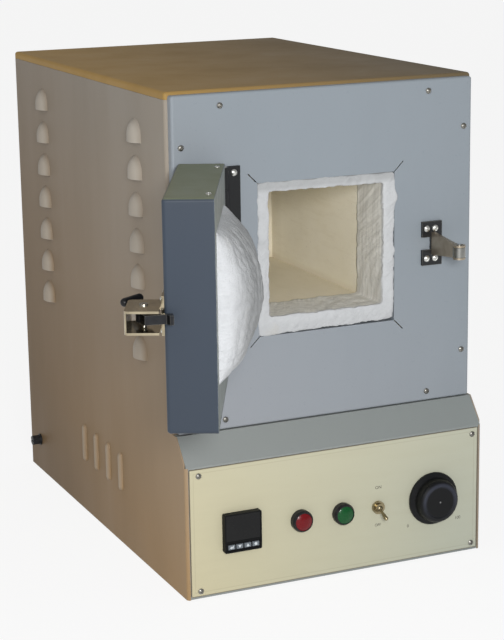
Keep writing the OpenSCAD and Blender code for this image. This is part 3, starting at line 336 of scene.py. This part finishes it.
def knobPlastic():
    # black moulded knob: a bluish-grey painted reflection ring that fades out low on its face, and
    # a pale centre dot; across is the distance from the knob's axis
    kit = Kit("knobPlastic")
    x, y, z = kit.split()
    across = kit.maths("SQRT", (x - knob["axis"][0])**2.0 + (z - knob["axis"][1])**2.0)
    haze = kit.noise(36.0, 4.0, 0.6)
    ring = kit.span(abs(across - knob["ring"]), 0.0012, 0.0036, (1.0, 0.0))
    ring = ring*kit.span(z + 0.02*haze, *knob["lit"])
    dot = kit.span(across, *knob["dot"], (1.0, 0.0))
    base = kit.blend(kit.span(haze, 0.4, 0.75)*0.15, srgb(8, 9, 11), srgb(30, 32, 34))
    # painted reflection: the bluish-grey ring on the black face
    base = kit.blend(ring*0.8, base, srgb(52, 55, 66))
    base = kit.blend(dot, base, srgb(120, 120, 120))
    base = kit.blend(kit.edges(0.0009)*0.3, base, srgb(60, 62, 66))
    return kit.finish(Base_Color=base, Specular_IOR_Level=0.22,
                      Roughness=kit.span(haze, 0.3, 0.7, (0.34, 0.5)),
                      Normal=kit.bump(kit.noise(800.0, 3.0, 0.6), 0.05, 0.0003))


def lensPlastic(name, colour, glow):
    # tinted lens over a dark lamp: deep colour with a moulded prism pattern inside
    kit = Kit(name)
    prism = kit.cells(900.0)
    base = kit.blend(kit.span(prism, 0.1, 0.7)*0.5, colour, glow)
    return kit.finish(Base_Color=base, Roughness=kit.span(kit.noise(70.0), 0.35, 0.7, (0.2, 0.34)),
                      Specular_IOR_Level=0.25, Coat_Weight=0.08, Coat_Roughness=0.2,
                      Normal=kit.bump(prism, 0.1, 0.0004))


mouthEdge = (-0.0075, -0.001)    # y where the felt's face ends and its lining's tone is whole


def ceramicFibre(name, colour, stain, stainAt=0.62, tuft=1.0, lining=None, dimBy=None):
    # felted ceramic wool: crossing strands, small lumps and dusty stains; a lining further in
    # than the mouth's face is greyer and streaked along its depth
    kit = Kit(name)
    lumps = kit.noise(46.0, 5.0, 0.62)
    strandA = kit.noise(330.0, 3.0, 0.75, kit.place((0.25, 1.0, 1.6), (0.3, 0.5, 0.9)), 1.2)
    strandB = kit.noise(280.0, 3.0, 0.75, kit.place((1.5, 0.9, 0.25), (0.9, -0.4, 0.2)), 1.6)
    weave = strandA*0.5 + strandB*0.5
    shade = kit.blend(kit.span(lumps, 0.3, 0.7), tuple(c*0.84 for c in colour), colour)
    shade = kit.blend(kit.span(weave, 0.56, 0.72)*0.35, shade, tuple(c*0.7 for c in colour))
    shade = kit.blend(kit.span(kit.noise(20.0, 5.0, 0.6), stainAt, 0.86)*0.5, shade, stain)
    height = lumps*0.45 + weave*0.55
    if dimBy:
        # darker where dimBy rises: a painted shade on the pad's crown and top, and darker bands at
        # the collar's top and bottom
        grey = (dimBy(*kit.split()) + (lumps - 0.5)*0.5).clamp()
        shade = kit.blend(grey, shade, (0.58, 0.58, 0.57), "MULTIPLY")
    if lining:
        x, y, z = kit.split()
        inside = kit.span(y + 0.004*lumps, *mouthEdge)
        layers = kit.noise(70.0, 5.0, 0.7, kit.place((1.0, 3.2, 0.22)), 0.6)
        tone = kit.blend(kit.span(layers, 0.35, 0.7), lining, tuple(c*0.7 for c in lining))
        shade = kit.blend(inside, shade, tone)
        height = height*(1.0 - inside*0.75) + inside*layers*0.6
    return kit.finish(Base_Color=shade, Roughness=0.95, Specular_IOR_Level=0.1,
                      Normal=kit.bump(height, 0.6*tuft, 0.0024))


muffle = {
    "floor": (0.330, 0.338),     # heights where its floor's darker tone is full and where it ends
    "deep": (0.28, 0.345),       # y where its painted shade toward the rear starts and where it is darkest
}


def firedClay():
    # cast muffle: beige body, a darker floor, iron specks, faint trowel marks and painted shade
    # toward its rear
    kit = Kit("firedClay")
    x, y, z = kit.split()
    cloud = kit.noise(9.0, 5.0, 0.6)
    trowel = kit.noise(60.0, 4.0, 0.6, kit.place((1.0, 0.35, 2.4)))
    base = kit.blend(kit.span(cloud, 0.3, 0.7), srgb(247, 241, 224), srgb(238, 231, 210))
    base = kit.blend(kit.span(trowel, 0.5, 0.75)*0.13, base, srgb(194, 178, 144))
    specks = kit.span(kit.noise(520.0, 2.0, 0.6), 0.68, 0.76)
    base = kit.blend(specks*0.4, base, srgb(126, 108, 82))
    floor = kit.span(z + 0.006*cloud, *muffle["floor"], (1.0, 0.0))
    base = kit.blend(floor*0.3, base, srgb(204, 188, 156))
    # painted shade: darker toward the rear, deep in the chamber
    base = kit.blend(kit.span(y, *muffle["deep"])*0.6, base, (0.42, 0.38, 0.32), "MULTIPLY")
    return kit.finish(Base_Color=base, Roughness=0.9, Specular_IOR_Level=0.15,
                      Normal=kit.bump(trowel*0.5 + kit.noise(420.0, 3.0, 0.6)*0.5, 0.3, 0.0012))


print("writing materials")
doorOut = (0.8988, -0.4384)      # x and y straight out of the open door's inner face
doorFace = (-0.1934, -0.1408)    # x and y of a point 1 mm out from the pad's root
fade = {
    # how the sheet's tone drifts: down and back on the sides, across on the top; the warm drift on
    # the sides and top is painted warm light, and sideRear is painted shade
    "side": lambda x, y, z: (1.02 - z*1.9 + y*0.55).clamp(),
    # the louvres and vents, which stand out from the left side: a painted highlight, lighter where
    # light catches them
    "pressed": lambda x, y, z: ((-0.2003 - x)*190.0).clamp()*0.52,
    "plain": lambda x, y, z: (0.3 - z*0.5 + y*0.5).clamp(),
    # painted shade on the left side, darker toward its rear and bottom
    "sideRear": lambda x, y, z: (y*(2.2 - z*2.6)).clamp(),
    "top": lambda x, y, z: (0.45 - x*2.2 + y*0.4).clamp(),
    "plate": lambda x, y, z: (0.1 - x*1.5 + (0.42 - z)*1.8).clamp(),
    "ledge": lambda x, y, z: (0.5 + x*2.4).clamp(),
    # painted shade: greyer toward the pad's crown, by the distance out of the door's inner face,
    # and its top
    "pad": lambda x, y, z: (((x - doorFace[0])*doorOut[0] + (y - doorFace[1])*doorOut[1])*42.0
                            - 0.48 + ((z - 0.435)*16.0).clamp()).clamp(),
    "collar": lambda x, y, z: ((z - 0.4755)*150.0).clamp()*0.56 + ((0.322 - z)*150.0).clamp()*0.12,
}
# the top: painted warm light, warmer toward its left and rear
topPaint = enamel("topPaint", sheetPaint["top"], sheetPaint["topWarmLight"], fade["top"], rough=0.55,
                  gloss=0.2, wearAndHighlight=srgb(150, 134, 104))
# the rear, right side and base: painted warm light, warmer toward the bottom and the rear
plainPaint = enamel("plainPaint", sheetPaint["side"], sheetPaint["sideWarmLight"], fade["plain"],
                    rough=0.55, gloss=0.25, wearAndHighlight=srgb(176, 168, 156))
finishes = {
    # the left side: painted warm light, warmer toward its bottom and rear, with painted shade low
    # at the rear and a painted highlight on its louvres and vents
    "casing_paint": enamel("sidePaint", sheetPaint["side"], sheetPaint["sideWarmLight"], fade["side"],
                           fade["sideRear"], rough=0.55, gloss=0.25,
                           wearAndHighlight=srgb(184, 178, 168), highlightBy=fade["pressed"]),
    "plate_paint": enamel("platePaint", sheetPaint["plate"], srgb(150, 152, 157), fade["plate"],
                          rough=0.44),
    "ledge_paint": enamel("ledgePaint", sheetPaint["ledge"], srgb(132, 138, 137), fade["ledge"],
                          rough=0.42),
    "frame_paint": enamel("framePaint", sheetPaint["frame"]),
    "panel_face": printedSheet(),
    "door_paint": enamel("doorPaint", sheetPaint["door"], srgb(57, 64, 74), rough=0.42, gloss=0.2,
                         wearAndHighlight=srgb(140, 150, 156), upwardTint=srgb(124, 128, 98)),
    "liner_steel": metal("linerSteel", srgb(150, 156, 152), 0.45, plated=0.3),
    "hinge_black": plastic("hingeBlack", srgb(22, 23, 25), 0.42, 500.0, 0.1),
    "screw_steel": metal("screwSteel", srgb(146, 144, 138), 0.34, (1, 1, 1), 0.6),
    "pin_steel": metal("pinSteel", srgb(170, 170, 168), 0.25),
    # its darker smudges, heavier than on the other metals, are a painted reflection of a dark room
    # in the chrome
    "latch_chrome": metal("latchChrome", srgb(190, 178, 152), 0.14, (6.0, 1.0, 1.0), 0.5, 0.35),
    "keeper_bronze": keeperMetal(),
    "roller_steel": metal("rollerSteel", srgb(150, 150, 146), 0.3, (1, 1, 6)),
    "grip_black": plastic("gripBlack", srgb(20, 20, 22), 0.4, 420.0, 0.16),
    "fibre_board": ceramicFibre("boardFibre", srgb(228, 224, 212), srgb(190, 176, 148)),
    "fibre_white": ceramicFibre("woolFibre", srgb(218, 220, 223), srgb(186, 180, 166)),
    "muffle_ceramic": firedClay(),
    "heating_wire": metal("heatingWire", srgb(92, 80, 70), 0.6),
    "probe_steel": metal("probeSteel", srgb(150, 150, 150), 0.4),
    "terminal_plastic": plastic("terminalPlastic", srgb(222, 214, 192)),
    "relay_plastic": plastic("relayPlastic", srgb(60, 62, 66)),
    "gland_plastic": plastic("glandPlastic", srgb(24, 24, 26)),
    "controller_plastic": plastic("controllerPlastic", srgb(9, 10, 11), 0.46, 900.0, gloss=0.15),
    "window_plastic": plastic("windowPlastic", srgb(6, 7, 8), 0.24, 300.0, 0.01, 0.2, 0.3),
    "key_plastic": plastic("keyPlastic", srgb(104, 110, 116), 0.45),
    "bezel_plastic": plastic("bezelPlastic", srgb(24, 24, 27), 0.36, gloss=0.25),
    "red_lens": lensPlastic("redLens", srgb(92, 5, 12), srgb(124, 10, 19)),
    "green_lens": lensPlastic("greenLens", srgb(4, 62, 26), srgb(12, 92, 42)),
    "toggle_metal": metal("toggleMetal", srgb(158, 146, 116), 0.24, smudgeDepth=0.55),
    "regulator_case": plastic("regulatorCase", srgb(96, 98, 102)),
    "knob_plastic": knobPlastic(),
}
collarFelt = ceramicFibre("collarFelt", srgb(196, 198, 200), srgb(186, 178, 160), 0.6, 1.0,
                          srgb(230, 228, 221), fade["collar"])
# the pad's wool, with painted shade over its crown and top
padWool = ceramicFibre("padWool", srgb(210, 212, 215), srgb(186, 180, 166), 0.64, 1.5,
                       dimBy=fade["pad"])
brightScrew = metal("brightScrew", srgb(214, 214, 210), 0.26, (1, 1, 1), 0.3, 0.5)
printInk = plastic("printInk", srgb(62, 58, 56), 0.6, 900.0, 0.03, 0.2)
keyGlyph = plastic("keyGlyph", srgb(196, 202, 206), 0.5, 900.0, 0.03, 0.2)
slots = {part["node"]: part["material_slot"] for part in frame["record"]["subparts"]}
for name, node in nodes.items():
    node.data.materials.clear()
    node.data.materials.append(finishes[slots[name]])
ownFinish = {
    "rear_panel": plainPaint,
    "right_side_panel": plainPaint,
    "base_pan": plainPaint,
    "top_cover": topPaint,
    "latch_lever": leverDarkReflection(),
    "keeper_screws": brightScrew,
    "hinge_screws": brightScrew,
    "door_screws": brightScrew,
}
for name, finish in ownFinish.items():
    nodes[name].data.materials[0] = finish


def addMesh(name, points, faces, material, body):
    # a smooth closed mesh from arrays of points and quads, riding on one body
    mesh = bpy.data.meshes.new(name)
    mesh.from_pydata(points.reshape(-1, 3).tolist(), [], faces.tolist())
    mesh.validate()
    piece = bpy.data.objects.new(name, mesh)
    bpy.context.scene.collection.objects.link(piece)
    mesh.materials.append(material)
    mesh.polygons.foreach_set("use_smooth", [True]*len(mesh.polygons))
    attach(piece, body)
    return piece


def gridFaces(rows, columns, wrapColumns=False):
    # quads over a rows x columns grid of points; the last column joins the first if asked
    r = np.arange(rows - 1)[:, None]
    c = np.arange(columns if wrapColumns else columns - 1)[None, :]
    n = (c + 1) % columns
    quads = np.stack([r*columns + c, r*columns + n, (r + 1)*columns + n, (r + 1)*columns + c], -1)
    return quads.reshape(-1, 4)


def ripple(u, v, seed, octaves=5, first=3.0, fade=0.55):
    # smooth noise on a plane: a seeded sum of slanted sine waves, each octave finer and fainter
    rng = np.random.default_rng(seed)
    total = np.zeros(np.broadcast(u, v).shape)
    size = 1.0
    freq = first
    for _ in range(octaves):
        for _ in range(4):
            a = rng.uniform(0, 2*math.pi)
            phase = rng.uniform(0, 2*math.pi)
            stretch = rng.uniform(0.6, 1.5)
            total += size*np.sin(freq*stretch*(u*math.cos(a) + v*math.sin(a)) + phase)
        size *= fade
        freq *= 1.9
    return total/4


def swing(points, hinge, degrees):
    # turns points about the upright line through the hinge
    t = math.radians(degrees)
    x = points[..., 0] - hinge[0]
    y = points[..., 1] - hinge[1]
    out = points.copy()
    out[..., 0] = hinge[0] + x*math.cos(t) - y*math.sin(t)
    out[..., 1] = hinge[1] + x*math.sin(t) + y*math.cos(t)
    return out


hingeLine = (-0.136, -0.0175)    # x and y of the door's hinge
doorAngle = -116.0               # degrees from shut to the drawn place

pad = {
    "middle": (0.0, 0.3965),     # x and z of its middle, door closed
    "half": (0.0850, 0.0815),
    "base": -0.0160,             # closed-door y of its root
    "swell": 0.0440,
    "steps": 210,
    "round": (2.6, 2.3),         # powers across and up: higher is flatter in the middle
    "crown": 0.58,               # power on the dome: lower is fuller at the edge
    "wrinkle": 0.0022,
    "fold": 0.0020,
    "ragged": 0.014,
    "lift": 0.0006,              # how far its edge stands off the plate
    "seat": 0.0012,              # how far its back is set into the inner plate's window
}


def makeDoorPad():
    # a pillow: both parameters run -1..1 across the door; the height is a rounded dome,
    # (1 - |u|^a)(1 - |v|^b) raised to a power; long folds run up and down it, small lumps
    # cover it, and its edge is ragged
    n = pad["steps"]
    s = np.linspace(-1, 1, n)
    ease = np.sign(s)*(1 - (1 - np.abs(s))**1.5)
    u, v = np.meshgrid(ease, ease)
    dome = (1 - np.abs(u)**pad["round"][0])*(1 - np.abs(v)**pad["round"][1])
    height = pad["swell"]*np.clip(dome, 0, 1)**pad["crown"]
    lump = ripple(u, v, 4, 6, 4.2, 0.62)
    drift = u + 0.16*np.sin(2.3*v + 0.6) + 0.07*ripple(u, v, 12, 3, 3.0)
    valley = np.abs(ripple(drift*1.5, v*0.3, 9, 3, 4.0, 0.6))
    calm = np.clip(dome*5, 0, 1)
    height = height + calm*(pad["wrinkle"]*lump - pad["fold"]*np.clip(0.3 - valley, 0, 1)**1.3/0.21)
    ragged = 1 + pad["ragged"]*ripple(u*2, v*2, 21, 5, 5.0, 0.7)
    x = pad["middle"][0] + pad["half"][0]*u*ragged
    z = pad["middle"][1] + pad["half"][1]*v*ragged
    y = pad["base"] + pad["lift"] + np.maximum(height, 0.0002)
    front = np.stack([x, y, z], -1)
    back = front.copy()
    back[..., 1] = pad["base"] - pad["seat"]
    points = np.concatenate([front.reshape(-1, 3), back.reshape(-1, 3)])
    faces = gridFaces(n, n)
    rim = np.concatenate([np.arange(n), np.arange(1, n)*n + n - 1,
                          (n - 1)*n + np.arange(n - 2, -1, -1), np.arange(n - 2, 0, -1)*n])
    nextRim = np.roll(rim, -1)
    wall = np.stack([rim, rim + n*n, nextRim + n*n, nextRim], -1)
    faces = np.concatenate([faces[:, ::-1], faces + n*n, wall[:, ::-1]])
    piece = addMesh("doorPadPillow", swing(points, hingeLine, doorAngle), faces,
                    padWool, "door")
    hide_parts("door_pad")
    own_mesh(piece)


collar = {
    # corners in x and z, clockwise from the upper left, measured on the front face
    "outer": ((-0.0903, 0.4883), (0.0898, 0.4877), (0.0890, 0.3085), (-0.0908, 0.3048)),
    "inner": ((-0.0765, 0.4775), (0.0752, 0.4760), (0.0745, 0.3268), (-0.0772, 0.3272)),
    "front": -0.0116,
    "lining": 0.0590,
    "back": 0.0050,              # y of the hidden rear of its face
    "rear": (0.0935, 0.0925),    # half sizes in x and z behind the plate
    "corner": (60.0, 44.0),      # powers of its outer and inner outline: higher is squarer
    "around": 880,
    "across": 30,
    "deep": 34,
    "roll": 0.0013,              # how far its face falls back at both rims
    "lumps": 0.0009,
    "fray": 0.0010,              # raggedness of its outer rim, inner rim and lining
    "chew": 0.0008,
    "shred": 0.0009,
    "reach": (0.085, 0.076),     # half sizes that turn the raggedness into a share
    "lap": 0.0022,               # where its lining starts, behind its front
    "wave": 0.0007,
    "tuft": (0.4551, 0.0046, 0.0080),    # height, size and spread of the tuft at its right
}


def quadLoop(t, corners, power):
    # walks t = 0..1 clockwise round a superellipse |a|^p + |b|^p = 1 and maps its square onto
    # four given corners by bilinear weights
    a = np.sin(t*2*math.pi)
    b = np.cos(t*2*math.pi)
    reach = (np.abs(a)**power + np.abs(b)**power)**(-1/power)
    a, b = a*reach, b*reach
    weights = ((1 - a)*(1 + b), (1 + a)*(1 + b), (1 + a)*(1 - b), (1 - a)*(1 - b))
    x = sum(w*c[0] for w, c in zip(weights, corners))/4
    z = sum(w*c[1] for w, c in zip(weights, corners))/4
    return x, z


def makeCollar():
    # a felt ring: one parameter runs round the mouth and the other along its section, over the
    # ragged front face from outside to inside, down the lining to the muffle and back outside
    n = collar["around"]
    t = np.arange(n)/n
    a = t*2*math.pi
    outerPower, innerPower = collar["corner"]
    ox, oz = quadLoop(t, collar["outer"], outerPower)
    ix, iz = quadLoop(t, collar["inner"], innerPower)
    mid = collar["inner"][0][1]/2 + collar["inner"][2][1]/2
    fray = collar["fray"]*ripple(np.cos(a)*3, np.sin(a)*3, 31, 6, 5.0, 0.72)
    chew = collar["chew"]*ripple(np.cos(a)*3, np.sin(a)*3, 37, 6, 6.0, 0.75)
    tuftZ, tuftSize, tuftSpread = collar["tuft"]
    tuft = np.where(ox > 0.08, tuftSize*np.exp(-((oz - tuftZ)/tuftSpread)**2), 0.0)
    outerReach, innerReach = collar["reach"]
    section = []
    for k in np.linspace(0, 1, collar["across"]):
        out = 1 - k
        x = ox*out + ix*k
        z = oz*out + iz*k
        grow = 1 + (fray*out - chew*k)/outerReach
        rough = ripple(x*70, z*70, 41, 5, 1.7, 0.68)
        crown = min(1.0, 5*k + 0.1, 5*out + 0.2)
        y = collar["front"] + collar["roll"]*(1 - math.sin(math.pi*k)**0.5)
        y = y + collar["lumps"]*rough*crown
        section.append(np.stack([x*grow + tuft*out**2, y, mid + (z - mid)*grow], -1))
    depths = np.linspace(collar["front"] + collar["lap"], collar["lining"], collar["deep"])
    for k, d in zip(np.linspace(0, 1, collar["deep"]), depths):
        shred = collar["shred"]*ripple(np.cos(a)*3 + d*16, np.sin(a)*3 - d*11, 53, 6, 4.0, 0.72)
        grow = 1 + (shred - chew*max(0.0, 1 - 7*k))/innerReach
        y = d + collar["wave"]*ripple(np.cos(a)*3, np.sin(a)*3, 59, 5, 9.0, 0.7)*k
        section.append(np.stack([ix*grow, y, mid + (iz - mid)*grow], -1))
    halfX, halfZ = collar["rear"]
    corners = tuple((math.copysign(halfX, c[0]), mid + math.copysign(halfZ, c[1] - mid))
                    for c in collar["inner"])
    bx, bz = quadLoop(t, corners, outerPower)
    back = collar["back"]
    for x, z, y in ((bx, bz, collar["lining"]), (bx, bz, back), (ox, oz, back)):
        section.append(np.stack([x, np.full(n, y), z], -1))
    rings = len(section)
    faces = gridFaces(rings, n, True)
    closing = gridFaces(2, n, True)
    closing = np.where(closing < n, closing + (rings - 1)*n, closing - n)
    faces = np.concatenate([faces, closing])
    piece = addMesh("mouthCollar", np.stack(section), faces[:, ::-1], collarFelt,
                    "furnace")
    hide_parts("fibre_collar")


def addPrism(name, outline, x, z, face, thick, material, body):
    # a flat printed or moulded shape: the outline in the panel's plane, a little thick toward -Y
    outline = np.array(outline, float)
    n = len(outline)
    front = np.stack([x + outline[:, 0], np.full(n, face - thick), z + outline[:, 1]], -1)
    back = front + np.array([0.0, thick + 0.00002, 0.0])
    mesh = bpy.data.meshes.new(name)
    a = np.arange(n)
    b = (a + 1) % n
    sides = np.stack([b, a, a + n, b + n], -1)
    mesh.from_pydata(np.concatenate([front, back]).tolist(), [],
                     [a.tolist(), (a[::-1] + n).tolist(), *sides.tolist()])
    piece = bpy.data.objects.new(name, mesh)
    bpy.context.scene.collection.objects.link(piece)
    mesh.materials.append(material)
    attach(piece, body)


printing = {
    "face": -0.0360,
    "thick": 0.00006,
    # text, x, z and letter size
    "words": (("ON", 0.0550, 0.1030, 0.0056), ("OFF", 0.0544, 0.0545, 0.0050),
              ("0", 0.0965, 0.0462, 0.0056), ("100", 0.1675, 0.0462, 0.0056)),
}


def addWord(text, x, z, size):
    # a printed word: its letters' outlines, raised from the panel by the print's thickness
    curve = bpy.data.curves.new("word" + text, "FONT")
    curve.body = text
    curve.size = size
    curve.align_x = "CENTER"
    curve.align_y = "CENTER"
    curve.extrude = printing["thick"]
    maker = bpy.data.objects.new("maker", curve)
    bpy.context.scene.collection.objects.link(maker)
    shape = maker.evaluated_get(bpy.context.evaluated_depsgraph_get()).to_mesh()
    mesh = bpy.data.meshes.new("print" + text)
    flat = np.empty(len(shape.vertices)*3)
    shape.vertices.foreach_get("co", flat)
    flat = flat.reshape(-1, 3)
    points = np.stack([x + flat[:, 0], printing["face"] - flat[:, 2], z + flat[:, 1]], -1)
    mesh.from_pydata(points.tolist(), [], [list(face.vertices) for face in shape.polygons])
    bpy.data.objects.remove(maker)
    piece = bpy.data.objects.new("print" + text, mesh)
    bpy.context.scene.collection.objects.link(piece)
    mesh.materials.append(printInk)
    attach(piece, "furnace")


def printPanel():
    for text, x, z, size in printing["words"]:
        addWord(text, x, z, size)


glyphs = {
    "face": -0.0446,
    "thick": 0.00012,
    "middle": (-0.1300, 0.0612),
    "pitch": 0.0104,
    "shapes": (
        [(0.0022, -0.0012), (-0.0004, -0.0012), (-0.0004, -0.0022), (-0.0026, -0.0004),
         (-0.0004, 0.0014), (-0.0004, 0.0004), (0.0012, 0.0004), (0.0012, 0.0020),
         (0.0022, 0.0020)],
        [(-0.0021, 0.0016), (0.0021, 0.0016), (0.0, -0.0019)],
        [(0.0021, -0.0016), (-0.0021, -0.0016), (0.0, 0.0019)],
        [(0.0019*math.cos(k*math.pi/8), 0.0019*math.sin(k*math.pi/8)) for k in range(16)],
    ),
}


def markKeys():
    # one symbol on each key, its outline turned to run anticlockwise
    middle, z = glyphs["middle"]
    for i, shape in enumerate(glyphs["shapes"]):
        x = middle + (i - 1.5)*glyphs["pitch"]
        area = sum(a[0]*b[1] - b[0]*a[1] for a, b in zip(shape, shape[1:] + shape[:1]))
        outline = shape if area > 0 else shape[::-1]
        addPrism(f"keyGlyph{i + 1}", outline, x, z, glyphs["face"],
                 glyphs["thick"], keyGlyph, f"key_{i + 1}")


printPanel()
markKeys()
makeDoorPad()
makeCollar()
print("fibre pieces made")


studio = {
    "worldLevel": 0.40,
    "floorHalf": 30.0,
    "floorTone": 0.86,
    "floorShow": 0.86,           # share of plain white in what camera, mirror and glass rays see
    "floorDrop": 0.0005,
    # name, place, aim, size and watts
    "lamps": (("keyLamp", (-0.82, -2.15, 0.96), (0, 0.1, 0.36), (0.42, 0.42), 41.0),
              ("fillLamp", (-2.6, -0.6, 1.6), (0, 0.2, 0.3), (1.8, 1.8), 9.0)),
}


def makeFloor():
    # a pale matt floor that camera, mirror and glass rays see as nearly white
    kit = Kit("studioFloor")
    path = kit.add("ShaderNodeLightPath").socket.node
    seen = Wire(kit, path.outputs["Is Camera Ray"])
    mirrored = Wire(kit, path.outputs["Is Glossy Ray"])
    through = Wire(kit, path.outputs["Is Transmission Ray"])
    tone = studio["floorTone"]
    matte = kit.add("ShaderNodeBsdfDiffuse", None, {"Color": (tone, tone, tone, 1.0)})
    white = kit.add("ShaderNodeEmission", None, {"Color": (1, 1, 1, 1), "Strength": 1.0})
    show = (seen + mirrored + through).clamp()*studio["floorShow"]
    mixed = kit.add("ShaderNodeMixShader", None, {0: show, 1: matte, 2: white})
    kit.tree.links.new(mixed.socket, kit.out.inputs["Surface"])
    h = studio["floorHalf"]
    z = -studio["floorDrop"]
    mesh = bpy.data.meshes.new("studioFloor")
    mesh.from_pydata([(-h, -h, z), (h, -h, z), (h, h, z), (-h, h, z)], [], [(0, 1, 2, 3)])
    floor = bpy.data.objects.new("studioFloor", mesh)
    bpy.context.scene.collection.objects.link(floor)
    mesh.materials.append(kit.material)


def makeWorld():
    # even soft light, with plain white behind the furnace
    world = bpy.data.worlds.new("softRoom")
    bpy.context.scene.world = world
    world.use_nodes = True
    tree = world.node_tree
    tree.nodes.clear()
    out = tree.nodes.new("ShaderNodeOutputWorld")
    mix = tree.nodes.new("ShaderNodeMixShader")
    path = tree.nodes.new("ShaderNodeLightPath")
    either = tree.nodes.new("ShaderNodeMath")
    either.operation = "MAXIMUM"
    room = tree.nodes.new("ShaderNodeBackground")
    plain = tree.nodes.new("ShaderNodeBackground")
    room.inputs["Color"].default_value = (1, 1, 1, 1)
    room.inputs["Strength"].default_value = studio["worldLevel"]
    plain.inputs["Color"].default_value = (1, 1, 1, 1)
    plain.inputs["Strength"].default_value = 1.0
    tree.links.new(path.outputs["Is Camera Ray"], either.inputs[0])
    tree.links.new(path.outputs["Is Transmission Ray"], either.inputs[1])
    tree.links.new(either.outputs[0], mix.inputs[0])
    tree.links.new(room.outputs[0], mix.inputs[1])
    tree.links.new(plain.outputs[0], mix.inputs[2])
    tree.links.new(mix.outputs[0], out.inputs["Surface"])


def addLamp(name, place, aim, size, power):
    data = bpy.data.lights.new(name, "AREA")
    data.shape = "RECTANGLE"
    data.size, data.size_y = size
    data.energy = power
    lamp = bpy.data.objects.new(name, data)
    bpy.context.scene.collection.objects.link(lamp)
    lamp.location = place
    away = np.array(aim, float) - np.array(place, float)
    lamp.rotation_euler = Vector(away.tolist()).to_track_quat("-Z", "Y").to_euler()


makeFloor()
makeWorld()
for lamp in studio["lamps"]:
    addLamp(*lamp)

view = {
    "place": (-0.9676, -1.9598, 0.8436),
    # degrees to the right, down and about its own axis
    "yaw": 23.94,
    "pitch": 13.53,
    "roll": -0.89,
    # width, height, focal length and optical centre, all in pixels
    "image": (504, 640),
    "focal": 1862.9,
    "centre": (250.2, 317.0),
    "sensor": 36.0,
}


def makeCamera():
    # looks along yaw and pitch from its place, then turns by roll about that line
    yaw, pitch, roll = (math.radians(view[k]) for k in ("yaw", "pitch", "roll"))
    flat = math.cos(pitch)
    ahead = np.array([math.sin(yaw)*flat, math.cos(yaw)*flat, -math.sin(pitch)])
    right = np.cross(ahead, [0, 0, 1])
    right /= np.linalg.norm(right)
    up = np.cross(right, ahead)
    turnedRight = right*math.cos(roll) + up*math.sin(roll)
    turnedUp = -right*math.sin(roll) + up*math.cos(roll)
    data = bpy.data.cameras.new("studioCamera")
    data.sensor_fit = "HORIZONTAL"
    wide, high = view["image"]
    data.sensor_width = view["sensor"]
    data.lens = view["focal"]/wide*view["sensor"]
    data.shift_x = (wide/2 - view["centre"][0])/wide
    data.shift_y = (view["centre"][1] - high/2)/wide
    data.clip_end = 100.0
    camera = bpy.data.objects.new("studioCamera", data)
    bpy.context.scene.collection.objects.link(camera)
    columns = np.stack([turnedRight, turnedUp, -ahead], 1)
    rows = [[*columns[i], view["place"][i]] for i in range(3)]
    camera.matrix_world = Matrix(rows + [[0, 0, 0, 1]])
    bpy.context.scene.camera = camera


makeCamera()
bpy.context.scene.view_settings.view_transform = "Standard"
print("studio ready")
